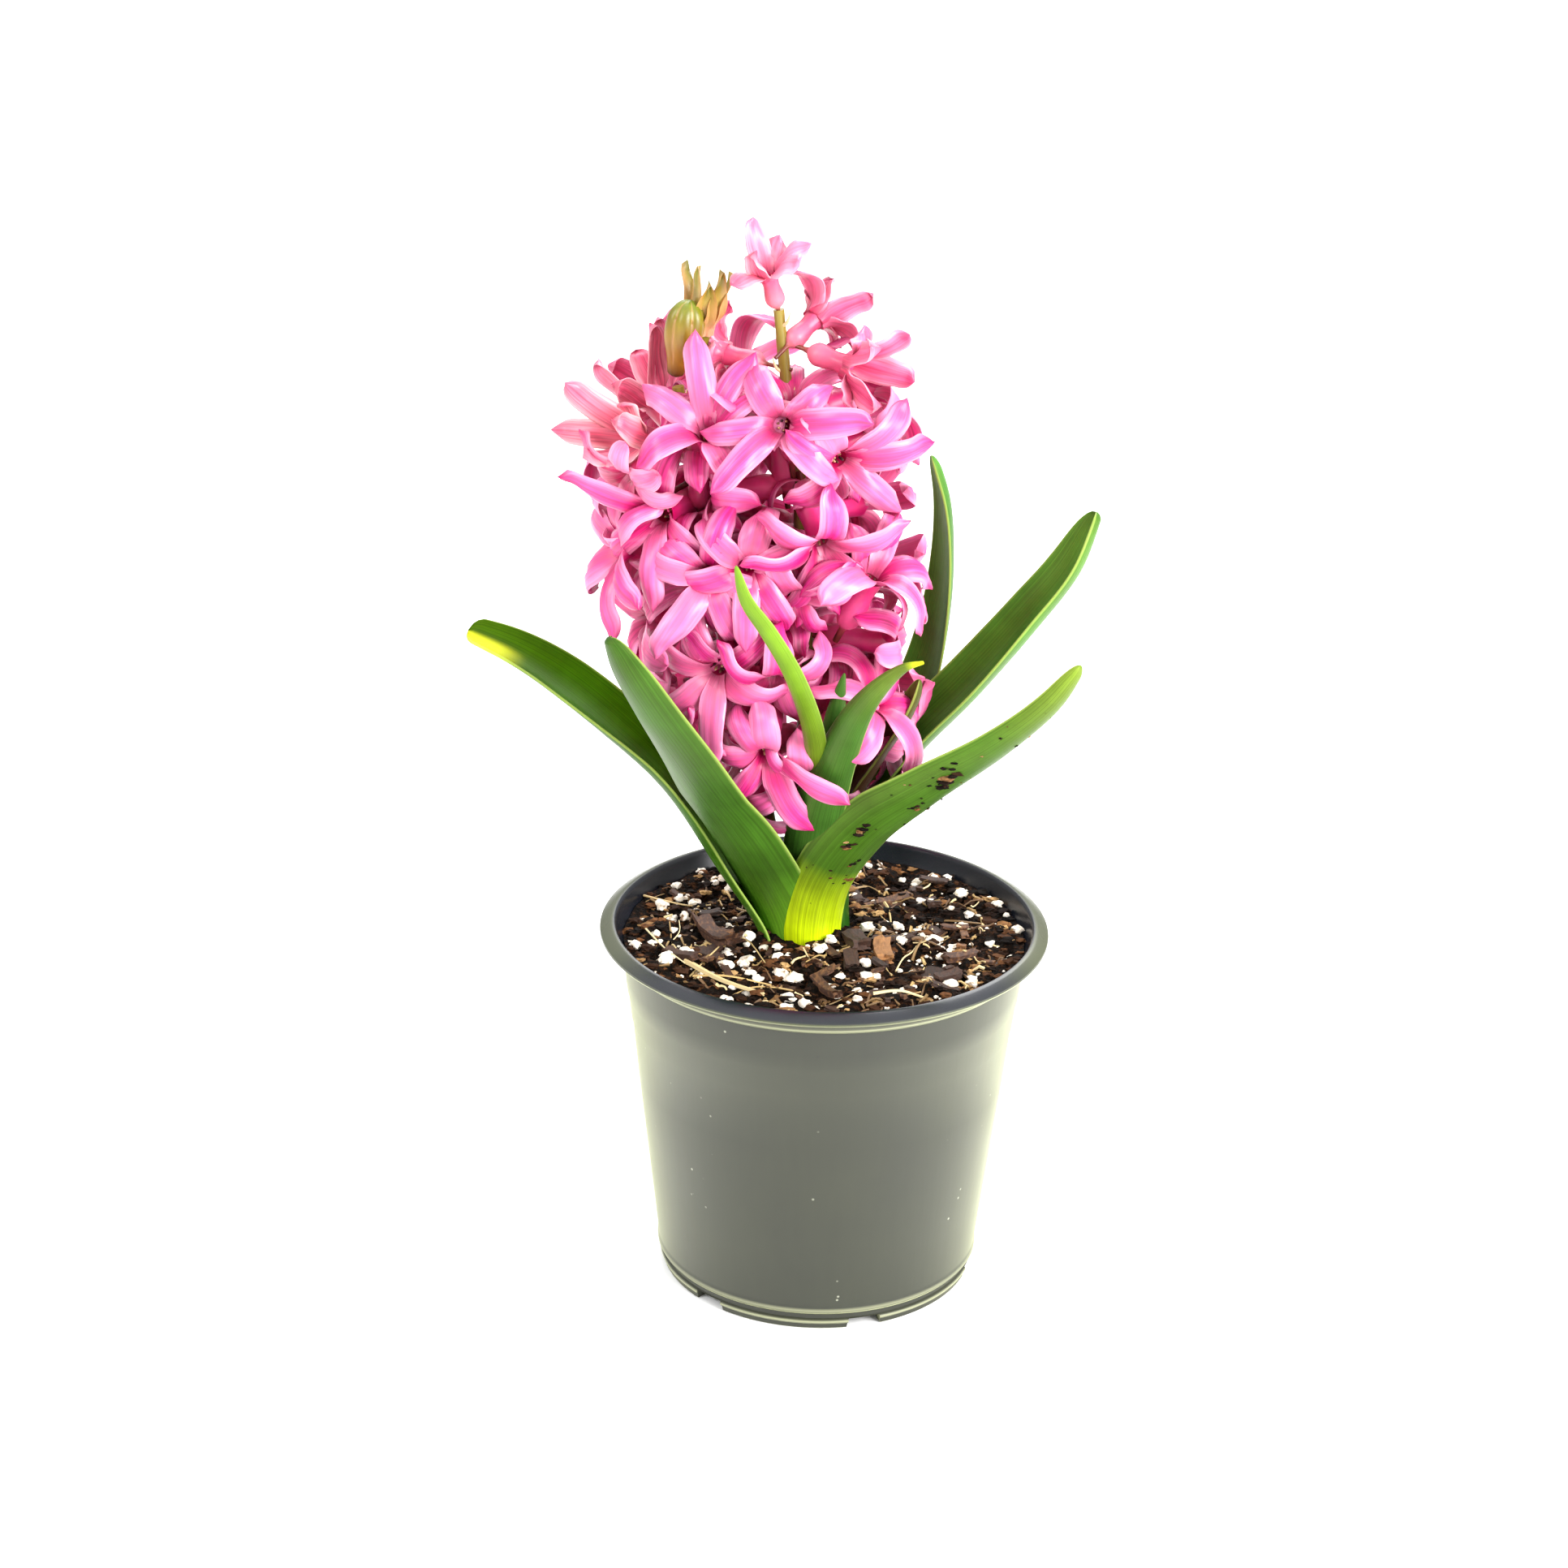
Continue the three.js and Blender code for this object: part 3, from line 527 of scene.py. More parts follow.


# the same plastic on the inside and the rolled lip, painted near black as shade and shinier; paler olive
# along the lip's sides and back as a painted reflection
def lipPlastic():
    material, shader = newMaterial("rolledLipPolypropylene")
    where = addNode(material, "TexCoord")
    cloud = addNode(material, "TexNoise", {"Scale": 60.0, "Detail": 3.0}, {"Vector": where})
    tone = addNode(
        material, "ValToRGB", {"stops": ramp((0.35, potColours["lip"]), (0.8, "#1A1D24"))}, {"Fac": cloud},
    )
    shade = addNode(material, "Attribute", {"attribute_name": "shade"})
    both = addNode(
        material, "Mix", {"data_type": "RGBA", 6: linear(potColours["lipPaintedReflection"])}, {0: shade, 7: tone},
    )
    setNode(shader, {"Roughness": 0.26}, {"Base Color": both})
    return material


potPiece = makePot()
coat(potPiece, potPlastic(), lipPlastic())
# the inside and the top of the lip take the lip plastic with its painted shade and painted reflection
for face in potPiece.data.polygons:
    centre = face.center / mm
    inner = face.normal.x * centre.x + face.normal.y * centre.y < 0 and centre.z > pot["floorZ"]
    face.material_index = 1 if inner or centre.z > pot["lipZ"] else 0
finished(potPiece, "pot_plastic", "nursery_pot")

# the potting mix and what lies loose on it
soil = {
    "surface": 82.3,
    "relief": 1.1,
    "edgeRise": 1.6,  # how much higher it lies along the wall
    "perlite": 20,
    "bark": 8,
    "shoot": (-4, 8),
    "crumbs": 1500,
    "grains": 330,  # fine perlite
    "chips": 60,
    "splinters": 240,
    "straws": 14,
    "seed": 5,
    "solidSeed": 41,
    "steps": 200,
    # the clear lumps of perlite: x, y, width
    "lumps": [
        (-1, -6.5, 2.6), (-10.7, -10.7, 2.4), (-6.8, -20.5, 3.7), (-22.6, -18.8, 2.8), (-16.9, -20.4, 2.1),
        (10.3, 6.3, 2.6), (25.8, 3.2, 3.3), (33.1, 24.1, 2.8), (41.5, 18.5, 2.2), (28.8, -26.7, 2.8),
        (1.6, -25.6, 1.6), (-8.3, -38.5, 2.6), (-35.3, 24.1, 1.9), (-39.3, -1.3, 1.8), (-28.4, -18.5, 1.6),
        (11, 39.6, 1.7), (13.8, 37.6, 1.4), (19.1, 31.6, 1.4), (14.7, 11.1, 1.5), (19.2, 2.9, 1.3),
        (33.1, 10.1, 1.8), (30.2, 13.2, 1.3), (43.5, -8, 1.7), (16.3, -31.5, 1.5), (-24.5, 7.2, 1.3),
        (-18, -5.4, 1.4), (-35.6, 10, 1.2), (6.5, -15.5, 1.4), (-20.8, 11.4, 1.8), (20.4, -16.1, 1.4),
        (-43.6, -9.2, 1.1), (21.4, 13.5, 1.2), (39.8, 22.4, 1.3), (22.2, -8.5, 1.2),
    ],
    # the clear pieces of bark: x, y, turn, length, width, thickness, paleness
    "flakes": [
        (13.8, -8, 93, 11, 3.8, 2.2, 1.0), (-24.6, -3, -66, 21, 4, 2.2, 0.5),
        (7.5, -3, -75, 10, 4.5, 2.6, 0.3), (24, -20, 50, 7, 5, 1.6, 0.15),
        (0.6, -29.6, -70, 14, 2.2, 1.6, 0.55), (11.3, -31.5, 20, 6, 2.8, 1.4, 0.3),
        (32, -10, 30, 9, 3, 1.6, 0.5), (17, 22, 12, 8, 3, 1.6, 0.6), (-33, -14, -40, 9, 2.6, 1.5, 0.4),
    ],
    # long stalks of straw: points x, y and height over the soil, width, paleness
    "stalks": [
        ([(11, -34.5, 1.4), (16.8, -33.6, 1.8), (22.6, -31.6, 1.2)], 0.42, 0.9),
        ([(-31.9, -16.5, 1.2), (-23.2, -25.9, 1.6), (-13.6, -32.7, 1)], 0.75, 0.75),
        ([(-30.7, -21.4, 0.8), (-25.7, -11.2, 1.8), (-21.5, -4.1, 2.4), (-18.3, -5.8, 2),
            (-13.5, -15.6, 0.8)], 0.22, 0.6),
        ([(-41.7, -1.9, 1), (-37.6, -9.3, 1.5), (-34.6, -15.4, 1.2), (-31.9, -17.8, 0.8)], 0.22, 0.95),
        ([(-43.1, 18.4, 1), (-38.6, 15.3, 1.3), (-31.9, 15.6, 1), (-26.9, 15.2, 0.6)], 0.26, 0.6),
        ([(-30, -22, 1.3), (-22, -24.5, 1.9), (-12, -24, 1)], 0.3, 0.5),
    ],
}
soilColours = {
    "peat": "#0E0602",
    "peatPale": "#381F0D",
    "perlite": "#E9DFD0",
    "perliteShade": "#C2AF98",
    "bark": "#3E2110",
    "barkPale": "#936437",
    "straw": "#B99A62",
}
soilRandom = np.random.default_rng(soil["seed"])
noise.seed_set(soil["seed"])  # without it the bark chips come out differently each time
soilReach = 46.9


def groundLumps(x, y):
    lumps = np.sin(x * 0.31 + 1.3) * np.cos(y * 0.27) + 0.6 * np.sin(x * 0.74 - y * 0.61)
    return soil["relief"] * lumps * 0.7


def groundHeight(x, y):
    away = math.hypot(x, y)
    # bumps of about 6, 2 and 0.7 mm: how close they lie, where in the noise, how high
    fine = sum(
        noise.noise(Vector((x * close, y * close, layer))) * high
        for close, layer, high in ((0.16, 0, 1.6), (0.5, 4, 1.3), (1.4, 9, 0.7))
    )
    mound = 1.2 * math.exp(-(((x + 4) ** 2 + (y - 6) ** 2) / 330))
    level = soil["surface"] + mound + soil["edgeRise"] * smooth(26, 44, away)
    return level + (groundLumps(x, y) + fine) * (0.3 + 0.7 * (1 - smooth(soilReach - 4, soilReach, away)))


def makeGround():
    line = [(0, 4.3), (35, 4.3), (36.6, 8.2)]
    line += [(potWall(z) - pot["wall"] - 0.4, z) for z in (30, 60, 78)] + [(46.2, 82.6), (46.8, 83.2)]
    line += [(r, soil["surface"] + 2) for r in np.linspace(soilReach, 0.9, 62)] + [(0, soil["surface"] + 2)]
    ground = turned("pottingMix", line, soil["steps"])
    points = pointsOf(ground)
    for point in points:
        if point[2] > soil["surface"] + 1.5:
            point[2] = groundHeight(point[0], point[1])
    setPoints(ground, points)
    return softShaded(ground, 60)


def lumpBlank(name, subdivisions, roughness, seed):
    deselectAll()
    bpy.ops.mesh.primitive_ico_sphere_add(subdivisions=subdivisions, radius=mm)
    blank = bpy.context.object
    blank.name = name
    points = pointsOf(blank)
    for point in points:
        push = noise.noise(Vector(point) * 1.3 + Vector((seed, 0, 0)))
        push += 0.5 * noise.noise(Vector(point) * 3.1 + Vector((0, seed, 0)))
        point *= 1 + roughness * push
    setPoints(blank, points)
    return blank


def turnOf(draws):
    a, b, c = draws.uniform(0, 2 * math.pi, 3)
    turn = Matrix.Rotation(a, 3, "X") @ Matrix.Rotation(b, 3, "Y") @ Matrix.Rotation(c, 3, "Z")
    return np.array(turn)


def spread(blanks, places, sizes, name, squash=0.8):
    copies = []
    for number, (place, size) in enumerate(zip(places, sizes)):
        copy = copyOf(blanks[number % len(blanks)], name)
        points = pointsOf(copy) @ turnOf(soilRandom)
        points *= np.array(size) * np.array([1, 1, squash])
        setPoints(copy, points + place)
        mark(copy, "shade", soilRandom.random())
        copies.append(copy)
    for blank in blanks:
        remove(blank)
    return joinAs(name, copies)


# a spot on the soil away from the shoot, by the scene's own draws or by the solids'
def openSpot(reach, clear=12.5, draw=soilRandom.random):
    while True:
        angle = draw() * 2 * math.pi
        r = math.sqrt(draw()) * reach
        x = r * math.cos(angle)
        y = r * math.sin(angle)
        if math.hypot(x - soil["shoot"][0], y - soil["shoot"][1]) > clear:
            return x, y


def onGround(x, y, lift=0.0):
    return np.array([x, y, groundHeight(x, y) + lift])


# moist sphagnum peat: dark, matt, with paler dry fibres
def peatMaterial():
    material, shader = newMaterial("sphagnumPeat")
    where = addNode(material, "TexCoord")
    # crumbs of about 1.5 mm, and fibres of about 1 mm in the relief
    crumb = addNode(
        material, "TexNoise", {"Scale": 650.0, "Detail": 6.0, "Roughness": 0.7}, {"Vector": where},
    )
    fibre = addNode(material, "TexVoronoi", {"Scale": 900.0, "feature": "F2"}, {"Vector": where})
    tone = addNode(
        material, "ValToRGB",
        {
            "stops": ramp(
                (0.38, "#070402"), (0.52, soilColours["peat"]), (0.64, soilColours["peatPale"]),
                (0.76, "#7A5A3C"),
            ),
        },
        {"Fac": crumb},
    )
    bump = addNode(material, "Bump", {"Strength": 1.0, "Distance": 0.0008}, {"Height": fibre})
    setNode(shader, {"Roughness": 0.8, "Specular IOR Level": 0.08}, {"Base Color": tone, "Normal": bump})
    return material


# crumbs of peat and composted bark, each its own brown
def crumbMaterial():
    material, shader = newMaterial("peatCrumbs")
    shade = addNode(material, "Attribute", {"attribute_name": "shade"})
    tone = addNode(
        material, "ValToRGB",
        {
            "stops": ramp(
                (0.0, "#080402"), (0.4, "#1C0F08"), (0.68, "#3A2213"), (0.86, "#6A4427"), (1.0, "#B08D5E"),
            ),
        },
        {"Fac": shade},
    )
    where = addNode(material, "TexCoord")
    grain = addNode(material, "TexNoise", {"Scale": 1400.0, "Detail": 3.0}, {"Vector": where})
    setNode(
        shader, {"Roughness": 0.75, "Specular IOR Level": 0.1},
        {"Base Color": mottled(material, tone, grain, 0.55, 1.25)},
    )
    return material


# expanded perlite: chalk white foam of glass, dull, darker and browner in the low places of its pitted relief
def perliteMaterial():
    material, shader = newMaterial("expandedPerlite")
    where = addNode(material, "TexCoord")
    pit = addNode(material, "TexNoise", {"Scale": 700.0, "Detail": 5.0, "Roughness": 0.65}, {"Vector": where})
    tone = addNode(
        material, "ValToRGB",
        {
            "stops": ramp(
                (0.30, "#6B5340"), (0.38, soilColours["perliteShade"]), (0.5, soilColours["perlite"]),
                (0.8, "#F8F2E8"),
            ),
        },
        {"Fac": pit},
    )
    bump = addNode(material, "Bump", {"Strength": 0.8, "Distance": 0.0005}, {"Height": pit})
    setNode(shader, {"Roughness": 0.9}, {"Base Color": tone, "Normal": bump})
    return material


# pine bark: red brown chips with a paler split face
def barkMaterial():
    material, shader = newMaterial("pineBark")
    where = addNode(material, "TexCoord")
    long = addNode(material, "Mapping", {"Scale": (1300, 500, 1300)}, {"Vector": where})
    grain = addNode(material, "TexNoise", {"Scale": 1.0, "Detail": 4.0}, {"Vector": long})
    shade = addNode(material, "Attribute", {"attribute_name": "shade"})
    total = addNode(material, "Math", {"operation": "ADD"}, {0: grain, 1: shade})
    half = addNode(material, "Math", {"operation": "MULTIPLY", 1: 0.5}, {0: total})
    tone = addNode(
        material, "ValToRGB",
        {"stops": ramp((0.2, "#120905"), (0.5, soilColours["bark"]), (0.8, soilColours["barkPale"]))},
        {"Fac": half},
    )
    bump = addNode(material, "Bump", {"Strength": 0.6, "Distance": 0.0004}, {"Height": grain})
    setNode(shader, {"Roughness": 0.75}, {"Base Color": tone, "Normal": bump})
    return material


# dry straw and root fibre: pale, faintly shiny
def strawMaterial():
    material, shader = newMaterial("dryStraw")
    shade = addNode(material, "Attribute", {"attribute_name": "shade"})
    tone = addNode(
        material, "ValToRGB",
        {"stops": ramp((0.0, "#5C3F22"), (0.5, soilColours["straw"]), (1.0, "#D8C79A"))}, {"Fac": shade},
    )
    setNode(shader, {"Roughness": 0.55}, {"Base Color": tone})
    return material


ground = makeGround()
coat(ground, peatMaterial())
finished(ground, "potting_mix", "potting_mix")

# the lumps that the solids have, then finer ones between them
draw = drawsFrom(soil["solidSeed"])
perlitePlaces, perliteSizes, barkPlaces, barkSizes = [], [], [], []
for _ in range(soil["perlite"]):
    radius = 1.2 + 1.6 * next(draw) * next(draw)
    x, y = openSpot(potWall(soil["surface"]) - 6, 15, draw.__next__)
    next(draw)
    next(draw)
    perlitePlaces.append(onGround(x, y, radius * 0.35))
    perliteSizes.append((radius * 0.8, radius * 0.72, radius * 0.7))
for x, y, width in soil["lumps"]:
    perlitePlaces.append(onGround(x, y, width * 0.3))
    perliteSizes.append((width * 0.62, width * 0.54, width * 0.5))
for _ in range(soil["bark"]):
    x, y = openSpot(potWall(soil["surface"]) - 9, 15, draw.__next__)
    length = 5 + 5 * next(draw)
    width = 2 + 1.5 * next(draw)
    next(draw)
    turn = next(draw) * math.pi
    barkPlaces.append((x, y, turn))
    barkSizes.append((length, width))
for _ in range(soil["grains"]):
    x, y = openSpot(soilReach - 1.2)
    radius = 0.3 + 1.5 * soilRandom.random() ** 2.6
    perlitePlaces.append(onGround(x, y, radius * 0.3))
    perliteSizes.append((radius, radius * 0.9, radius * 0.85))
perlite = spread(
    [lumpBlank("lump", 2, 0.55, seed) for seed in (1, 4, 9, 15)], perlitePlaces, perliteSizes, "perlite",
)
coat(perlite, perliteMaterial())
softShaded(perlite, 50)
finished(perlite, "potting_mix", "potting_mix")

crumbPlaces, crumbSizes = [], []
for _ in range(soil["crumbs"]):
    x, y = openSpot(soilReach - 0.8, 11.5)
    radius = 0.45 + 1.0 * soilRandom.random() ** 2
    crumbPlaces.append(onGround(x, y, radius * 0.2))
    crumbSizes.append((radius * 1.3, radius * 0.8, radius * 0.7))
crumbs = spread(
    [lumpBlank("crumb", 2, 0.9, seed) for seed in (2, 5, 11)], crumbPlaces, crumbSizes, "peatCrumbs", 0.7,
)
coat(crumbs, crumbMaterial())
softShaded(crumbs, 30)
finished(crumbs, "potting_mix", "potting_mix")


def makeBark():
    # a chip is a split block: bent a little and frayed at its ends
    deselectAll()
    bpy.ops.mesh.primitive_cube_add(size=mm)
    blank = bpy.context.object
    bpy.ops.object.mode_set(mode="EDIT")
    bpy.ops.mesh.select_all(action="SELECT")
    bpy.ops.mesh.subdivide(number_cuts=3)
    bpy.ops.object.mode_set(mode="OBJECT")
    base = pointsOf(blank)
    copies = []
    chips = [(*place, *size, 1.6, 0.3) for place, size in zip(barkPlaces, barkSizes)]
    chips += [(x, y, math.radians(turn), *rest) for x, y, turn, *rest in soil["flakes"]]
    for _ in range(soil["chips"]):
        x, y = openSpot(soilReach - 4, 13)
        length = 2 + 6 * soilRandom.random() ** 2
        pale = 0.15 + 0.6 * soilRandom.random()
        chips.append((x, y, soilRandom.random() * math.pi, length, 0.7 + 0.2 * length, 0.8, pale))
    for number, (x, y, turn, length, width, thick, pale) in enumerate(chips):
        chip = copyOf(blank, "chip")
        points = base.copy()
        for point in points:
            push = noise.noise_vector(Vector(point) * 2.3 + Vector((number * 3.7, 0, 0)))
            point += np.array(push) * (0.16, 0.22, 0.2)
        points *= (length, width, thick)
        points[:, 2] += 0.02 * points[:, 0] ** 2
        tilt = Matrix.Rotation((soilRandom.random() - 0.5) * 0.5, 3, "Y")
        spin = Matrix.Rotation(turn, 3, "Z")
        points = points @ np.array((spin @ tilt).transposed())
        setPoints(chip, points + onGround(x, y, 0.35 + 0.25 * thick))
        mark(chip, "shade", pale)
        copies.append(chip)
    remove(blank)
    return softShaded(joinAs("barkChips", copies), 35)


bark = makeBark()
coat(bark, barkMaterial())
finished(bark, "potting_mix", "potting_mix")


def rodBlank(name, sides, rings):
    line = [(0, 0)] + [(1, z) for z in np.linspace(0, 1, rings + 1)] + [(0, 1)]
    return turned(name, line, sides)


# a rod blank laid along a path, its radius given at each part of its length
def alongPath(piece, path, radii):
    points = pointsOf(piece)
    parts = np.clip(points[:, 2], 0, 1)
    centre = pointAt(path, parts)
    tangent = tangentAt(path, parts)
    hint = np.tile([0.0, 1.0, 0.0], (len(parts), 1))
    side = unit(np.cross(hint, tangent))
    front = np.cross(tangent, side)
    radius = radii(parts)[:, None]
    setPoints(piece, centre + side * points[:, :1] * radius + front * points[:, 1:2] * radius)
    mark(piece, "along", parts)
    return mended(piece, 0.002)


def makeStraw():
    stalks = [([onGround(x, y, up) for x, y, up in points], *rest) for points, *rest in soil["stalks"]]
    for number in range(soil["straws"] + soil["splinters"]):
        splinter = number >= soil["straws"]
        x, y = openSpot(soilReach - 4, 13)
        course = soilRandom.random() * 2 * math.pi
        length = 2 + 5 * soilRandom.random() ** 2 if splinter else 5 + 12 * soilRandom.random()
        lift, drop = soilRandom.uniform(-0.2, 1.6, 2) if splinter else (0.6, 0.9)
        knots = []
        for step in range(4):
            knots.append(onGround(x, y, mix(lift, drop, step / 3)))
            course += (soilRandom.random() - 0.5) * (0.3 if splinter else 0.8)
            x += math.cos(course) * length / 3
            y += math.sin(course) * length / 3
            if math.hypot(x, y) > soilReach - 1.5:
                break
        if len(knots) < 3:
            continue
        thick = soilRandom.uniform(0.18, 0.45) if splinter else soilRandom.uniform(0.14, 0.3)
        stalks.append((knots, thick, soilRandom.random() ** (3 if splinter else 1)))
    blanks = rodBlank("splinter", 5, 4), rodBlank("straw", 5, 12)
    copies = []
    for knots, width, pale in stalks:
        copy = copyOf(blanks[0] if len(copies) > soil["straws"] + 6 else blanks[1], "straw")
        alongPath(copy, curveThrough(knots), lambda t, width=width: width * (1 - 0.4 * t))
        mark(copy, "shade", pale)
        copies.append(copy)
    for blank in blanks:
        remove(blank)
    return softShaded(joinAs("straw", copies), 60)


straw = makeStraw()
coat(straw, strawMaterial())
finished(straw, "potting_mix", "potting_mix")
print("potting mix made")

# the bulb, hidden in the mix
bulb = {
    "shape": [(0, 32), (11, 32.3), (19.4, 38), (22, 50.7), (18.6, 62.7), (12, 70.5), (10.5, 76.5)],
    "steps": 48,
}


# dry outer tunic of a hyacinth bulb: papery, wine brown, ribbed from base to neck
def tunicMaterial():
    material, shader = newMaterial("paperyTunic")
    where = addNode(material, "TexCoord")
    tall = addNode(material, "Mapping", {"Scale": (420, 420, 40)}, {"Vector": where})
    rib = addNode(material, "TexNoise", {"Scale": 1.0, "Detail": 4.0}, {"Vector": tall})
    tone = addNode(
        material, "ValToRGB", {"stops": ramp((0.3, "#4E2335"), (0.6, "#8D4A63"), (0.85, "#C99AA2"))},
        {"Fac": rib},
    )
    bump = addNode(material, "Bump", {"Strength": 0.5, "Distance": 0.0004}, {"Height": rib})
    setNode(shader, {"Roughness": 0.5}, {"Base Color": tone, "Normal": bump})
    return material


def makeBulb():
    shape = curveThrough([(r, 0, z) for r, z in bulb["shape"]])
    line = [(float(p[0]), float(p[2])) for p in pointAt(shape, np.linspace(0, 1, 26))]
    line.append((0, bulb["shape"][-1][1]))
    body = turned("bulbBody", line, bulb["steps"])
    points = pointsOf(body)
    angle = np.arctan2(points[:, 1], points[:, 0])
    ribs = 1 + 0.012 * np.sin(angle * 11) + 0.006 * np.sin(angle * 27 + points[:, 2] * 0.1)
    points[:, :2] *= ribs[:, None]
    points[:, 0] += soil["shoot"][0]
    points[:, 1] += soil["shoot"][1]
    setPoints(body, points)
    return softShaded(body, 50)


bulbPiece = makeBulb()
coat(bulbPiece, tunicMaterial())
finished(bulbPiece, "bulb_scales", "bulb")

# the two scapes, which carry the florets
leafBase = 76.8
scapes = {
    "main": {
        "points": [(-3.5, 10.5, leafBase), (-5, 9.5, 130), (-8, 8, 191), (-11, 8, 212), (-13.4, 8, 232)],
        "base": 2.9,
        "tip": 1.2,
        "bracts": [(229, -40), (224.5, 10), (218.5, -160), (212, -60)],
        "node": "scape_main",
    },
    "side": {
        "points": [(-10, 9.8, leafBase), (-15, 10, 118), (-22, 9, 155), (-30.5, 8, 190), (-35.5, 8, 214)],
        "base": 2.1,
        "tip": 1.3,
        "bracts": [(211, -60), (208, -100)],
        "node": "scape_side",
    },
}
bractLine = ((0.6, -0.6), (1.9, 0.3), (2.6, 1.8), (2.9, 3.2))  # out from the stem, and up


# fleshy flower stem: smooth, finely streaked, green at its foot, brown higher up, olive at the tip
def scapeMaterial():
    material, shader = newMaterial("fleshyStem")
    along, pale = (addNode(material, "Attribute", {"attribute_name": each}) for each in ("along", "pale"))
    where = addNode(material, "TexCoord")
    tall = addNode(material, "Mapping", {"Scale": (900, 900, 60)}, {"Vector": where})
    streak = addNode(material, "TexNoise", {"Scale": 1.0, "Detail": 4.0}, {"Vector": tall})
    tone = addNode(
        material, "ValToRGB",
        {"stops": ramp((0.0, "#6A7A1C"), (0.3, "#54441A"), (0.8, "#6A5A20"), (1.0, "#8A7A2A"))},
        {"Fac": along},
    )
    both = mottled(material, tone, streak, 0.72, 1.12)
    bracted = addNode(material, "Mix", {"data_type": "RGBA", 7: linear("#D8BC8E")}, {0: pale, 6: both})
    setNode(
        shader, {"Roughness": 0.36, "Subsurface Weight": 0.1, "Subsurface Scale": 0.002},
        {"Base Color": bracted},
    )
    return material


stemFlesh = scapeMaterial()
for name, scape in scapes.items():
    scape["path"] = curveThrough(scape["points"])
    stem = rodBlank("scape" + name.capitalize(), 24, 70)

    def stemRadius(t, scape=scape):
        # low swellings where the flower stalks leave
        return mix(scape["base"], scape["tip"], t) * (1 + 0.05 * np.sin(t * 95))

    alongPath(stem, scape["path"], stemRadius)
    mark(stem, "pale", 0)
    parts = [stem]
    for z, azimuth in scape["bracts"]:
        # small dry bracts under the flower stalks
        foot = pointAt(scape["path"], partAtHeight(scape["path"], z))[0]
        knots = [foot + heading(azimuth) * r + np.array([0, 0, up]) for r, up in bractLine]
        bract = rodBlank("bract", 8, 8)
        alongPath(bract, curveThrough(knots), lambda t: 0.5 * (1.02 - t) ** 0.7)
        mark(bract, "pale", 1)
        parts.append(bract)
    stem = joinAs(stem.name, parts)
    coat(stem, stemFlesh)
    softShaded(stem, 60)
    finished(stem, "scape", scape["node"])
print("bulb and scapes made")

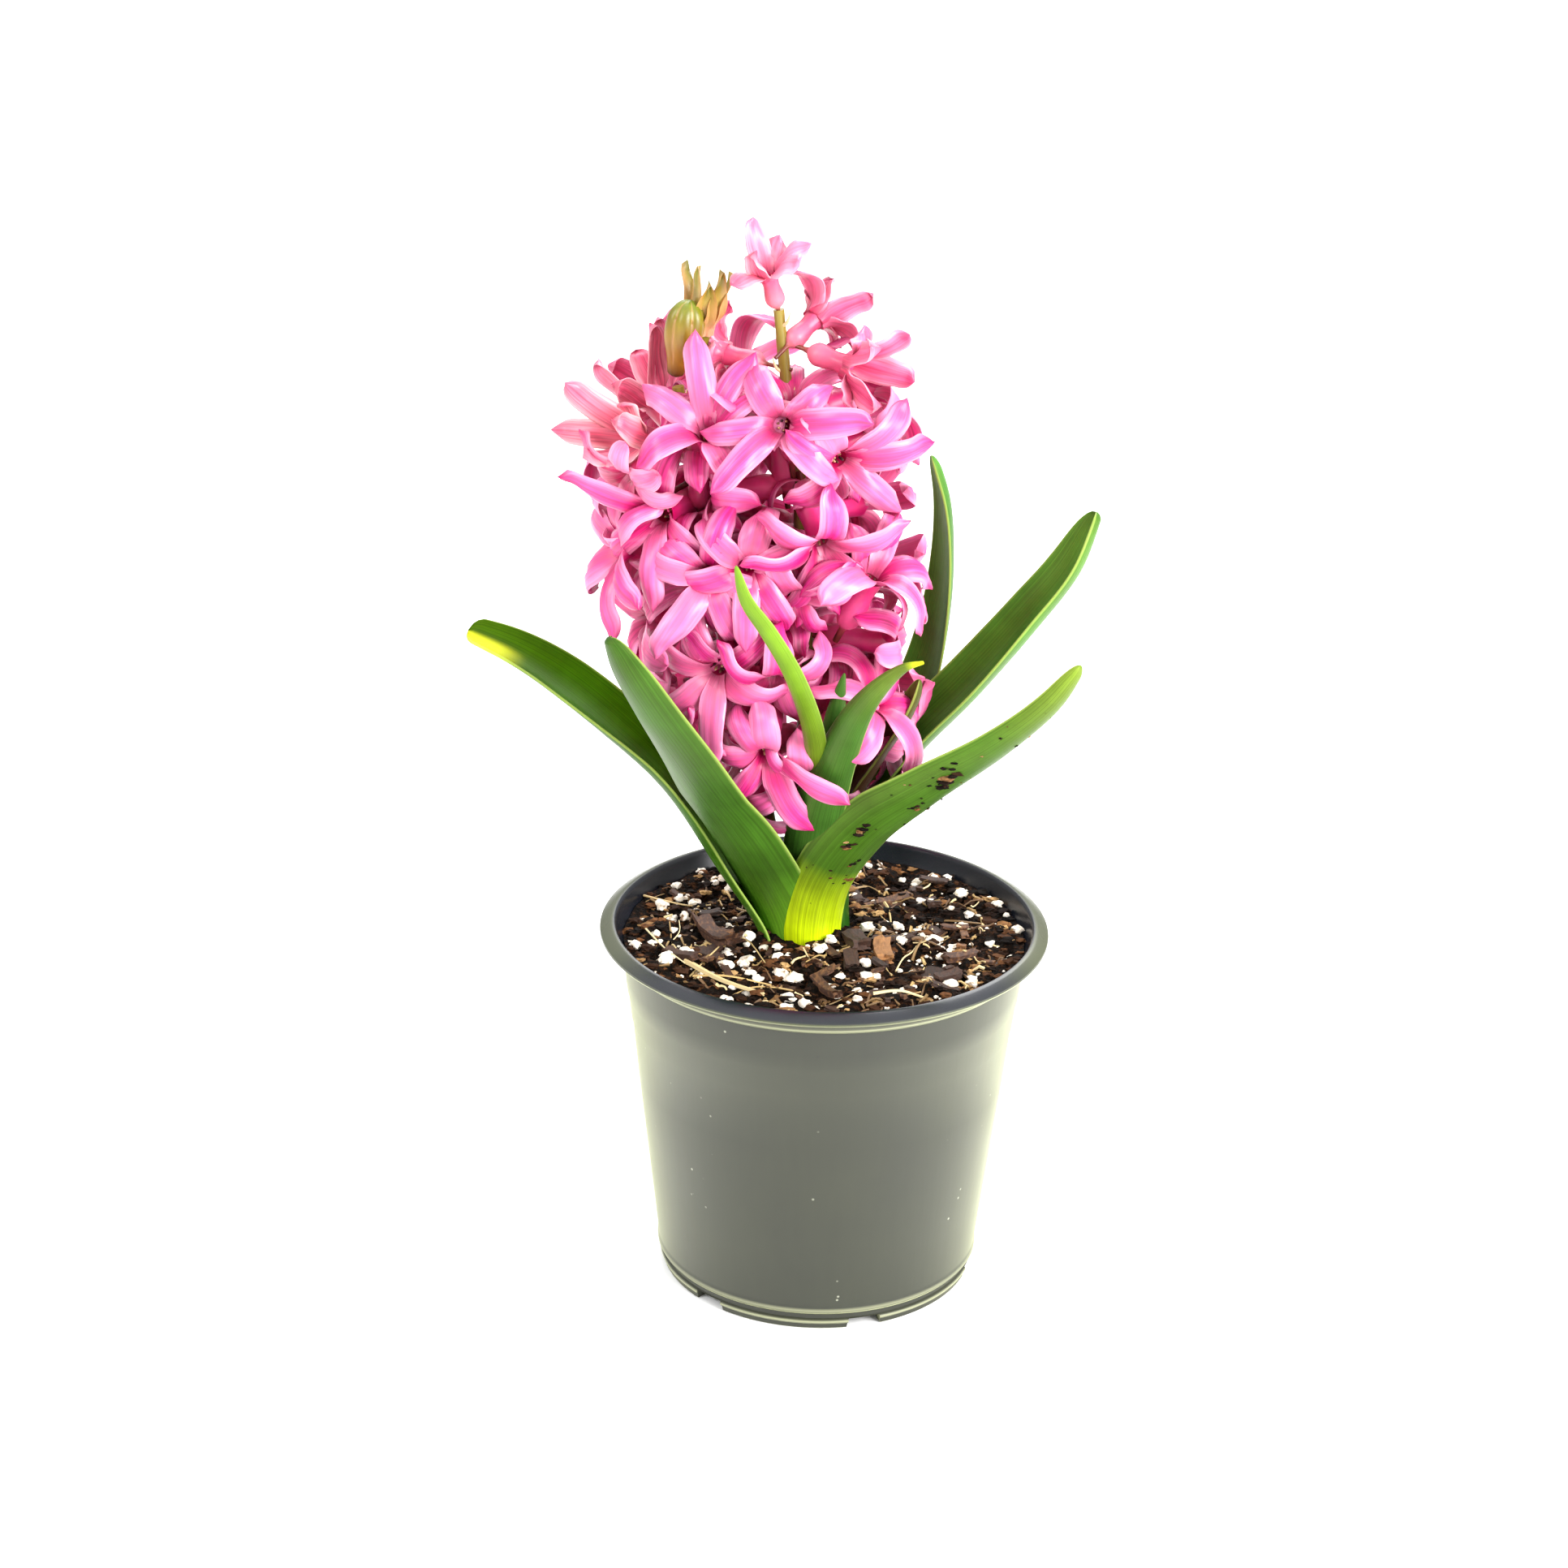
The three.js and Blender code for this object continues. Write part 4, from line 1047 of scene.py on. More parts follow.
# middle: the midline; width: at the base, the widest, near the tip and how late it narrows;
# tip: where it starts to round; bleach: where yellowing starts and is full, and to which side;
# faces: where the inner face looks at the base and at the tip; fold: how far the blade bends round,
# base to tip.
# inner and outer: the face colours from base to tip.
leaves = {
    "leaf_front_right": {
        "middle": [
            (-2, -0.6, leafBase), (-2.6, -1.4, 87), (-0.4, -5, 99.8), (8.1, -9, 114.4),
            (22.1, -13, 126.8), (37.3, -16, 138.4), (49, -18, 150.2), (54.9, -19, 160),
        ],
        "width": (14, 17, 6.5, 0.95),
        "faces": ((-0.1, 1, 0.1), (-0.45, 0.75, 0.6)),
        "fold": (0.95, 0.45, 0.95),
        "inner": ("#C6DC0C", "#375914", "#375B16", "#5E7421"),
        "outer": ("#C6DC0C", "#2D4818", "#2F4918", "#4D6321"),
    },
    "leaf_front_left": {
        "middle": [
            (-7.5, 2.2, leafBase), (-10.6, 1.0, 89), (-19.8, -5.4, 109), (-31, -12.4, 128.5),
            (-41, -18, 146.3), (-46.4, -21, 157.3), (-48.9, -22, 165.4),
        ],
        "width": (17, 23, 12, 2.4),
        "faces": ((0.45, 0.9, 0.1), (0.75, 0.5, 0.5)),
        "fold": (0.8, 0.35, 1.1),
        "inner": ("#5E9020", "#345A14", "#2C5514", "#2A5014"),
        "outer": ("#5E7E22", "#2B4A1B", "#2E511F", "#1C4316"),
    },
    "leaf_left": {
        "middle": [
            (-12.6, 6.4, leafBase), (-14.2, 6.2, 84), (-24.5, 7, 100.5), (-36.5, 10, 118.5),
            (-50.5, 14, 131), (-62.5, 18, 139.6), (-73.5, 20, 146), (-84.4, 22, 150.4),
        ],
        "width": (12, 17.5, 8, 2.6),
        "faces": ((1, -0.1, 0.1), (0.25, -0.45, 0.9)),
        "fold": (0.6, 0.95, 0.6),
        "tip": 0.975,
        "shine": 0.12,
        "bleach": (0.85, 0.93, -1),
        "inner": ("#4F7E20", "#2A5200", "#305E00", "#385B01"),
        "outer": ("#4B7A26", "#315606", "#516D10", "#5B7411"),
    },
    "leaf_right": {
        "middle": [
            (4.8, 11.5, leafBase), (4, 11, 92), (6.6, 12, 106.5), (18.6, 14, 125.5),
            (33, 16, 141.4), (46.1, 18, 157.2), (55.2, 19, 170), (60.2, 20, 183),
        ],
        "width": (13, 18, 11, 2.2),
        "faces": ((-1, -0.3, 0.1), (-0.86, -0.34, 0.45)),
        "fold": (0.9, 1.0, 1.0),
        "inner": ("#1E4C10", "#305D13", "#3D6D1C", "#497623"),
        "outer": ("#4E8030", "#897824", "#897821", "#616314"),
    },
    "leaf_back_right": {
        "middle": [
            (-2, 16.5, leafBase), (0, 17, 92), (4.5, 20, 106), (13.5, 26, 121.5), (21.5, 30, 137),
            (25.5, 31.5, 153), (26.5, 32, 168), (25.5, 31.5, 181.5), (22.2, 30, 192.5),
        ],
        "width": (11, 12, 6, 1.8),
        "faces": ((-0.1, -1, 0.1), (-0.95, -0.25, 0.1)),
        "fold": (0.8, 0.6, 0.6),
        "inner": ("#2E5A1A", "#2A5C16", "#32661C", "#42762A"),
        "outer": ("#4A7A30", "#6A8C2C", "#6C8F2E", "#7C9E30"),
    },
    "leaf_centre": {
        "middle": [
            (-3.2, 3.2, leafBase), (-4.6, 0.2, 96), (-3, -8, 116), (1.2, -14.5, 134),
            (6.1, -20, 148), (11.4, -24, 156.6), (16.1, -25, 160.9), (20, -25, 162.2),
        ],
        "width": (11, 12.5, 0.9, 1.25),
        "faces": ((0, 1, 0.1), (0.55, 0.8, 0.3)),
        "fold": (0.7, 0.35, 0.9),
        "bleach": (0.955, 0.99, 0),
        "inner": ("#7FA022", "#2C5217", "#355C1E", "#576A1F"),
        "outer": ("#4E7A1E", "#335B19", "#375524", "#42602C"),
    },
    "leaf_thin_front": {
        "middle": [
            (-7.2, 5.6, leafBase), (-5.5, 3, 98), (-3.4, -6, 121), (-3.6, -15, 139.5),
            (-8.1, -25, 157.4), (-14.2, -30, 170.4), (-19, -32, 178.4), (-21.3, -32, 186),
        ],
        "width": (4, 5.8, 3, 2.2),
        "faces": ((0.1, 1, 0.2), (0.6, 0.8, 0.1)),
        "fold": (0.5, 0.45, 0.6),
        "inner": ("#4E3020", "#575A1A", "#628716", "#668B22"),
        "outer": ("#5A3A2C", "#5B4D18", "#577E16", "#53801D"),
    },
    "leaf_small_inner": {
        "middle": [
            (0.4, 4.6, leafBase), (-0.4, 2.5, 97), (-0.6, -2, 117), (0.2, -8.5, 134), (1.6, -13, 147.6),
            (2.9, -15, 155.5),
        ],
        "width": (6.5, 8, 2, 1.2),
        "faces": ((0, 1, 0.1), (0.2, 1, 0.2)),
        "fold": (0.5, 0.5, 0.8),
        "inner": ("#5E8020", "#285114", "#2A5118", "#376321"),
        "outer": ("#5E8020", "#224816", "#264D1A", "#375F21"),
    },
    "leaf_sheath": {
        "middle": [
            (1.8, 7.6, leafBase), (1.6, 6.2, 100), (6.2, 4, 117.5), (12.1, 2, 130.5), (17.6, 0, 141),
            (20.2, -1, 149),
        ],
        "width": (7, 10, 4.5, 1.8),
        "faces": ((-0.8, 0.5, 0.2), (-0.75, -0.45, 0.5)),
        "fold": (0.6, 0.95, 0.95),
        "inner": ("#2E3818", "#422418", "#492918", "#3F4518"),
        "outer": ("#3E5A1A", "#5A5E1B", "#656222", "#515C1F"),
    },
}
# widestAt: where along it a blade is widest; veins: how many across half of it
blade = {
    "edge": 0.5,
    "middle": 1.6,
    "across": 20,
    "along": 96,
    "blank": 0.06,
    "widestAt": 0.45,
    "roundFrom": 0.86,
    "veins": 24,
}
leafSlots = {
    "leaf_front_right": "leaf_bloomed",
    "leaf_front_left": "leaf_bloomed",
    "leaf_centre": "leaf_bloomed",
    "leaf_sheath": "leaf_sheath",
}


def leafWidth(leaf, t):
    base, widest, nearTip, bend = leaf["width"]
    growing = mix(base, widest, np.sin(np.minimum(t / blade["widestAt"], 1) * math.pi / 2))
    later = np.clip((t - blade["widestAt"]) / (1 - blade["widestAt"]), 0, 1)
    body = np.where(t < blade["widestAt"], growing, mix(widest, nearTip, later ** bend))
    roundFrom = leaf.get("tip", blade["roundFrom"])
    intoTip = np.clip((t - roundFrom) / (1 - roundFrom), 0, 1)
    return body * np.sqrt(np.maximum(1 - intoTip ** 2.3, 0))


def leafFold(fold, t):
    return np.where(t < 0.5, mix(fold[0], fold[1], t * 2), mix(fold[1], fold[2], t * 2 - 1))


# a place on a leaf: across -1 to 1, along 0 to 1, depth 0 on the inner face to -1 on the outer
def onLeaf(leaf, across, along, depth, lift=0.0):
    path = leaf["path"]
    centre = pointAt(path, along)
    tangent = tangentAt(path, along)
    face = mix(np.array(leaf["faces"][0], float), np.array(leaf["faces"][1], float), along[:, None])
    normal = unit(face - tangent * np.sum(face * tangent, axis=1, keepdims=True))
    side = np.cross(tangent, normal)
    half = leafWidth(leaf, along) / 2
    fold = leafFold(leaf["fold"], along)
    lateral = half * np.sin(fold * across) / fold
    rise = half * (1 - np.cos(fold * across)) / fold
    thick = mix(blade["middle"], blade["edge"], across ** 2) * np.minimum(1, half / 2.5 + 0.2)
    out = depth * thick - lift
    return (
        centre
        + side * (lateral - out * np.sin(fold * across))[:, None]
        + normal * (rise + out * np.cos(fold * across))[:, None]
    )


# a flat sheet that leaves and petals are shaped from, its back face in the second material
def sheetBlank(across, along, thickness):
    deselectAll()
    bpy.ops.mesh.primitive_grid_add(x_subdivisions=across, y_subdivisions=along, size=2 * mm, calc_uvs=False)
    blank = bpy.context.object
    thicken = blank.modifiers.new("thick", "SOLIDIFY")
    thicken.thickness = thickness * mm
    thicken.offset = -1
    thicken.material_offset = 1
    return blank


def leafBlank():
    blank = sheetBlank(blade["across"], blade["along"], blade["blank"])
    rim = blank.modifiers.new("rim", "BEVEL")
    rim.width = 0.02 * mm
    rim.segments = 2
    rim.limit_method = "ANGLE"
    rim.angle_limit = math.radians(60)
    applyModifiers(blank)
    return blank


# a leaf's face: fine parallel veins, a paler margin, its own colours from base to tip
def leafMaterial(name, colours, glossy, veined, shine):
    material, shader = newMaterial(name)
    along, across, bleach = (
        addNode(material, "Attribute", {"attribute_name": each}) for each in ("along", "across", "bleach")
    )
    where = addNode(material, "TexCoord")
    base, low, high, tip = colours
    body = addNode(
        material, "ValToRGB", {"stops": ramp((0.07, base), (0.27, low), (0.75, high), (0.99, tip))},
        {"Fac": along},
    )
    # veins run the length of the blade, well under a millimetre apart
    veinAcross = addNode(material, "Math", {"operation": "MULTIPLY", 1: blade["veins"]}, {0: across})
    veinAlong = addNode(material, "Math", {"operation": "MULTIPLY", 1: 1.4}, {0: along})
    veinPlace = addNode(material, "CombineXYZ", None, {"X": veinAcross, "Y": veinAlong})
    vein = addNode(material, "TexNoise", {"Scale": 1.0, "Detail": 3.0}, {"Vector": veinPlace})
    body = mottled(material, body, vein, 1 - veined, 1 + veined * 0.8, 0.34, 0.66)
    # cloudy patches about a centimetre wide
    patch = addNode(material, "TexNoise", {"Scale": 85.0, "Detail": 4.0}, {"Vector": where})
    body = mottled(material, body, patch, 0.72, 1.18)
    bleached = addNode(material, "Mix", {"data_type": "RGBA", 7: linear("#B4BE10")}, {0: bleach, 6: body})
    away = addNode(material, "Math", {"operation": "ABSOLUTE"}, {0: across})
    margin = addNode(material, "ValToRGB", {"stops": grey((0.93, 0), (1.0, 0.6))}, {"Fac": away})
    edged = addNode(material, "Mix", {"data_type": "RGBA", 7: linear("#9DB058")}, {0: margin, 6: bleached})
    rough = addNode(
        material, "ValToRGB", {"stops": grey((0.3, glossy), (0.8, glossy + 0.16))}, {"Fac": patch},
    )
    bump = addNode(material, "Bump", {"Strength": 0.4, "Distance": 0.0002}, {"Height": vein})
    setNode(
        shader,
        {
            "Specular IOR Level": shine, "Specular Tint": linear("#FFF4A0"), "Subsurface Weight": 0.06,
            "Subsurface Radius": (0.6, 1.0, 0.2), "Subsurface Scale": 0.0012,
        },
        {"Base Color": edged, "Roughness": rough, "Normal": bump},
    )
    return material


blank = leafBlank()
blankPoints = pointsOf(blank)
leafAcross = np.clip(blankPoints[:, 0], -1, 1)
leafAlong = np.clip((blankPoints[:, 1] + 1) / 2, 0, 1)
leafDepth = np.clip(blankPoints[:, 2] / blade["blank"], -1, 0)
for number, (node, leaf) in enumerate(leaves.items()):
    leaf["path"] = curveThrough(leaf["middle"])
    name = camelName(node)
    piece = copyOf(blank, name)
    wave = np.sin(leafAlong * 9 + number) * 0.25 + np.sin(leafAlong * 23 + 2 * number) * 0.12
    setPoints(piece, onLeaf(leaf, leafAcross, leafAlong, leafDepth, wave * leafAcross ** 2))
    mark(piece, "along", leafAlong)
    mark(piece, "across", leafAcross)
    start, full, side = leaf.get("bleach", (2, 3, 0))
    onSide = smooth(-0.2, 0.2, leafAcross * side) if side else 1
    mark(piece, "bleach", smooth(start, full, leafAlong) * onSide)
    coat(
        piece, leafMaterial(name + "Inner", leaf["inner"], 0.34, 0.3, leaf.get("shine", 0.35)),
        leafMaterial(name + "Outer", leaf["outer"], 0.26, 0.16, leaf.get("shine", 0.5)),
    )
    mended(piece, 0.004)
    softShaded(piece, 70)
    finished(piece, leafSlots.get(node, "leaf"), node)
remove(blank)
print("leaves made")

# soil left on the leaf in front: clods (place across and along the leaf, size) and specks
dirt = {
    "leaf": "leaf_front_right",
    "clods": [
        (0.3, 0.63, 1.3), (0.05, 0.61, 1.1), (0.5, 0.64, 0.9), (0.2, 0.59, 0.7), (-0.2, 0.53, 0.6),
        (-0.1, 0.5, 0.5), (0.15, 0.38, 0.9), (0.25, 0.40, 0.8), (0.1, 0.35, 0.7), (-0.35, 0.3, 0.6),
        (0.2, 0.35, 0.5), (-0.5, 0.25, 0.7),
    ],
    "specks": 34,
}
clodPlaces, clodSizes = [], []
dirtLeaf = leaves[dirt["leaf"]]
for across, along, size in dirt["clods"]:
    for _ in range(3):
        a = np.array([across + (soilRandom.random() - 0.5) * 0.2])
        b = np.array([along + (soilRandom.random() - 0.5) * 0.03])
        clodPlaces.append(onLeaf(dirtLeaf, a, b, np.array([-1.0]), size * 0.05)[0])
        clodSizes.append(np.array([1.3, 0.7, 0.6]) * size * (0.5 + 0.6 * soilRandom.random()))
for _ in range(dirt["specks"]):
    a = np.array([soilRandom.uniform(-0.8, 0.8)])
    b = np.array([soilRandom.uniform(0.12, 0.9)])
    clodPlaces.append(onLeaf(dirtLeaf, a, b, np.array([-1.0]), -0.05)[0])
    clodSizes.append(np.array([1, 0.8, 0.6]) * (0.18 + 0.22 * soilRandom.random()))
clods = spread([lumpBlank("clod", 2, 0.9, seed) for seed in (3, 8)], clodPlaces, clodSizes, "clods", 0.8)
coat(clods, crumbs.data.materials[0])
softShaded(clods, 30)
finished(clods, "leaf_bloomed", dirt["leaf"])

# a floret as it stands on its scape: stalk, tube, then six petals
floret = {
    "stalk": 4.4,
    "tube": 14,
    "tubeRadius": 3.2,
    "tepalLength": 22,
    "tepalWidth": 6.5,
    "startAngle": 18,
    "tepals": 6,
    "across": 8,
    "along": 18,
    "blank": 0.1,
    "seed": 12,
    "mouth": 0.72,  # where petals leave, as part of the tube's radius
    "tip": (0.78, 0.5),  # where a petal starts to round, and how bluntly
    "twist": 38,
    "sway": 7.0,
    "hood": 1.3,
    "ripple": 0.3,
    "thickness": (1.0, 0.22),  # along the middle, at the edge
}
throatAt = floret["stalk"] + floret["tube"]


def tepalMidline(t, size, startAngle, endAngle):
    length = floret["tepalLength"] * size
    i = (np.arange(24) + 0.5) / 24
    angle = np.radians(mix(startAngle, endAngle, np.outer(t, i)))
    away = floret["tubeRadius"] * floret["mouth"] * size + np.mean(np.sin(angle), axis=1) * length * t
    out = throatAt * size + np.mean(np.cos(angle), axis=1) * length * t
    return away, out


# Rings of florets up each scape: height of their stalks, how many, where the first one
# looks, the step round to the next, and how far they rise or droop.
rings = {
    "main": [
        (134, 3, -112, 118, -27), (147, 4, -44, 78, -14), (158, 3, -96, 84, -6), (169, 4, -44, 70, 0),
        (181, 4, -84, 72, 2), (193, 4, -36, 74, 7), (205, 3, -92, 110, 12),
    ],
    "side": [
        (149, 2, -112, -100, -20), (164, 2, -165, -72, -10), (177, 3, -98, -66, 0), (191, 3, -150, -60, 2),
        (202, 3, -84, -86, 10),
    ],
}
settling = {
    "choices": 14, "rounds": 3, "clear": 3.6, "near": 90, "turn": 10, "shift": 2.5, "curl": (132, 228),
    "seed": 3,
}
# the four loose florets as the solids have them, and below as they really opened
looseFlorets = {
    "floret_top": (231.2, (-0.22, -0.36, 0.9), 0.62, 0.55, (85, 40, 55, 95, 135, 120)),
    "floret_upper_right": (223.5, (0.84, -0.15, 0.44), 0.66, 0.3, (45, 75, 80, 85, 65, 50)),
    "floret_right": (221, (0.84, -0.42, -0.3), 0.78, 0.75, (80, 105, 80, 110, 100, 85)),
    "floret_left": (219, (-0.76, 0.62, 0.1), 0.68, 0.5, (90, 105, 85, 110, 95, 80)),
}


def drawnPose(place, draw):
    azimuth = place["azimuth"] + (next(draw) * 2 - 1) * settling["turn"]
    rise = place["rise"] + (next(draw) * 2 - 1) * settling["turn"]
    z = place["z"] + (next(draw) * 2 - 1) * settling["shift"]
    roll = next(draw) * 2 * math.pi / floret["tepals"]
    size = 0.95 + next(draw) * 0.12
    curls = [mix(*settling["curl"], next(draw)) for _ in range(floret["tepals"])]
    path = scapes[place["scape"]]["path"]
    return {
        "at": pointAt(path, partAtHeight(path, z))[0], "direction": heading(azimuth, rise), "roll": roll,
        "size": size, "curls": curls, "start": floret["startAngle"], "scape": place["scape"],
    }


# a floret from where its throat is, which way it looks and its petals: curl, length and lean
def posedAt(throat, direction, size, turn, petals, **more):
    direction = unit(np.array(direction))
    curls, lengths, leans = zip(*petals)
    at = np.array(throat) - direction * throatAt * size
    return {
        "at": at, "direction": direction, "size": size, "roll": math.radians(turn), "curls": curls,
        "lengths": lengths, "leans": leans, **more,
    }


def floretPoints(pose):
    reach = throatAt * pose["size"]
    points = [(0, 0, reach * 0.5), (0, 0, reach * 0.95)]
    parts = np.array([0.25, 0.5, 0.75, 1])
    for k in range(floret["tepals"]):
        angle = (k + 0.5) * 2 * math.pi / floret["tepals"]
        away, out = tepalMidline(parts, pose["size"], pose["start"], pose["curls"][k])
        points += [(a * math.cos(angle), a * math.sin(angle), o) for a, o in zip(away, out)]
    return placed(np.array(points), frameAt(pose["at"], pose["direction"], pose["roll"]))


def crowding(points, others):
    apart = np.linalg.norm(points[:, None] - others[None], axis=2)
    near = np.maximum(settling["clear"] - apart, 0)
    return float(np.sum(near * near))


# each floret in turn takes the least crowded of its poses, as in the solids
def settledFlorets(obstacles):
    draw = drawsFrom(settling["seed"])
    places = []
    for name, rows in rings.items():
        for z, count, first, step, rise in rows:
            for i in range(count):
                places.append({"z": z, "rise": rise, "scape": name, "azimuth": first + i * step})
    poses = [drawnPose(place, draw) for place in places]
    points = [floretPoints(pose) for pose in poses]
    for _ in range(settling["rounds"]):
        for i, place in enumerate(places):
            near = [
                points[j] for j in range(len(places))
                if j != i and np.linalg.norm(poses[j]["at"] - poses[i]["at"]) < settling["near"]
            ]
            others = np.vstack(near + [obstacles])
            best = crowding(points[i], others)
            for _ in range(settling["choices"]):
                pose = drawnPose(place, draw)
                posePoints = floretPoints(pose)
                score = crowding(posePoints, others)
                if score < best:
                    best = score
                    poses[i] = pose
                    points[i] = posePoints
    return poses


# florets that face the eye, each as it opened: scape, age, throat, where it looks round and up, its
# turn, then for each petal how far it curls, how long it is and how far it leans aside
frontFlorets = [
    ("main", 0, (-12.1, -10, 211), -97, 18, 15,
        [(190, 0.7, -6), (190, 0.8, 20), (160, 0.85, 30), (125, 1, 0), (170, 0.85, 25), (120, 1, 15)]),
    ("side", 0, (-28.3, -7, 207.4), -102, 48, 10,
        [(110, 0.9, 28), (95, 1, 0), (150, 0.9, -5), (170, 0.85, -10), (230, 0.6, 20), (120, 0.75, 55)]),
    ("main", 0.1, (0.3, -8, 203), -58, -8, 12,
        [(150, 0.95, 0), (180, 0.8, 20), (170, 0.8, -5), (190, 0.8, 0), (130, 0.9, 35), (130, 1, 30)]),
    ("side", 0, (-38.1, -2, 187.6), -118, 2, 5,
        [(200, 0.9, 45), (240, 0.9, 20), (100, 1.1, 0), (200, 1.1, 5), (120, 1, 0), (200, 0.8, -10)]),
    ("side", 0, (-27.6, -9, 175.6), -98, 4, 20,
        [(180, 0.9, 30), (230, 0.9, 35), (230, 1, 0), (125, 1, 14), (190, 0.9, 10), (220, 0.9, 0)]),
    ("side", 0, (-19.2, -10, 178.4), -90, 2, -10,
        [(220, 0.9, 0), (230, 0.9, 0), (220, 0.9, 0), (200, 0.9, 0), (130, 0.85, 10), (170, 0.85, -10)]),
    ("main", 0, (-3.2, -9, 184.5), -72, -32, 0,
        [(140, 0.95, -7), (180, 0.85, -5), (200, 0.9, 0), (130, 0.95, -30), (135, 0.95, -15),
            (190, 0.9, -15)]),
    ("main", 0, (8.2, -5, 174), -42, 60, 15,
        [(140, 0.95, -10), (200, 1, -25), (200, 1, 0), (160, 0.95, -35), (190, 0.9, 0), (180, 0.9, 0)]),
    ("side", 0, (-25.3, -8, 153.4), -104, -14, 10,
        [(210, 1, 0), (240, 1, 15), (240, 1, 0), (150, 0.95, 5), (110, 1, -12), (190, 0.9, -10)]),
    ("main", 0, (-14, -9, 134), -92, -26, -35,
        [(95, 1, 0), (200, 0.8, 36), (220, 0.8, 2), (220, 0.8, 5), (150, 0.9, 0), (120, 1, 0)]),
    ("main", 0, (-13.1, -9, 153.7), -80, -48, 0,
        [(230, 0.9, 0), (230, 0.9, 0), (200, 0.9, 0), (220, 0.9, 20), (130, 0.9, 25), (190, 0.8, 0)]),
    ("main", 0, (8.6, -4, 144), -30, 35, 0,
        [(190, 0.9, 0), (200, 0.9, 0), (190, 0.9, 0), (200, 0.9, 0), (170, 1, 0), (180, 0.9, 0)]),
    ("side", 0.75, (-39.8, 12, 207.9), 143, 41, 20,
        [(10, 0.6, 22), (60, 0.8, -26), (55, 0.85, -58), (55, 0.6, -13), (20, 0.75, 56), (90, 0.55, 17)]),
    ("side", 0.95, (-42.9, 1, 204), -142, 15, 40,
        [(50, 0.45, 5), (55, 0.9, 19), (85, 0.9, 2), (15, 0.62, 0), (35, 0.5, -18), (25, 0.65, 6)]),
]


# each takes the place of the settled floret nearest to it
def placeFrontFlorets(poses):
    throats = np.array([p["at"] + p["direction"] * throatAt * p["size"] for p in poses])
    free = list(range(len(poses)))
    for scape, age, throat, azimuth, rise, turn, petals in frontFlorets:
        nearest = min(free, key=lambda i: np.linalg.norm(throats[i] - np.array(throat)))
        free.remove(nearest)
        poses[nearest] = posedAt(
            throat, heading(azimuth, rise), 1.0, turn, petals,
            age=age, sway=0.7, start=floret["startAngle"], scape=scape,
        )


loosePoses = {}
for node, (z, direction, size, turn, curls) in looseFlorets.items():
    path = scapes["main"]["path"]
    loosePoses[node] = {
        "at": pointAt(path, partAtHeight(path, z))[0], "direction": direction, "roll": turn,
        "size": size, "curls": curls, "start": 12, "scape": "main",
    }
obstacles = np.vstack(
    [pointAt(leaf["path"], np.arange(25) / 24) for leaf in leaves.values()]
    + [floretPoints(pose) for pose in loosePoses.values()]
)
headPoses = settledFlorets(obstacles)
placeFrontFlorets(headPoses)
print("florets settled:", len(headPoses))

petalRandom = np.random.default_rng(floret["seed"])
# the loose florets as they opened: throat, where each looks, size, turn, how its petals start, how
# far its stalk is drawn out, its age, then for each petal its curl, length and lean
openedFlorets = {
    "floret_top": ((-15.7, 5, 240.1), (-0.25, -0.3, 0.92), 0.55, 20, 10, 1.0, 0.8,
        [(120, 0.92, 5), (85, 0.68, -12), (35, 1.02, -27), (130, 0.74, 25), (12, 0.74, 0), (105, 0.79, 17)]),
    "floret_upper_right": ((-5.6, 12, 228.8), (0.63, 0.58, 0.52), 0.6, 25, 10, 1.5, 0.55,
        [(165, 1.1, 33), (15, 0.7, -23), (55, 1, 3), (150, 1, -10), (135, 0.85, -21), (40, 0.7, 25)]),
    "floret_right": ((1.7, 1, 221.6), (0.87, -0.46, -0.2), 0.66, 0, 12, 4.5, 0.55,
        [(70, 0.98, 30), (160, 0.58, -24), (75, 0.9, -25), (35, 0.95, -2), (90, 0.6, -29), (30, 1, 30)]),
    "floret_left": ((-24.7, 13, 220.1), (-0.93, 0.36, 0.1), 0.62, 15, 12, 3.5, 0.55,
        [(40, 0.73, 24), (155, 0.88, -9), (75, 0.74, -35), (60, 0.8, 20), (145, 0.59, -17), (160, 0.8, 26)]),
}
tepalPiece = sheetBlank(floret["across"], floret["along"], floret["blank"])
applyModifiers(tepalPiece)
blankPoints = pointsOf(tepalPiece)
tepalAcross = blankPoints[:, 0]
tepalAlong = (blankPoints[:, 1] + 1) / 2
tepalAlong = 1 - np.clip(1 - tepalAlong, 0, 1) ** 1.2
tepalDepth = np.clip(blankPoints[:, 2] / floret["blank"], -1, 0)


def tepalWidthAt(t, tip, taper):
    body = mix(0.52, 1, smooth(0, 0.3, t)) * mix(1, 0.9, smooth(0.5, 0.8, t))
    intoTip = np.clip((t - tip) / (1 - tip), 0, 1)
    return floret["tepalWidth"] / 2 * body * np.maximum(1 - intoTip ** 2, 0) ** taper


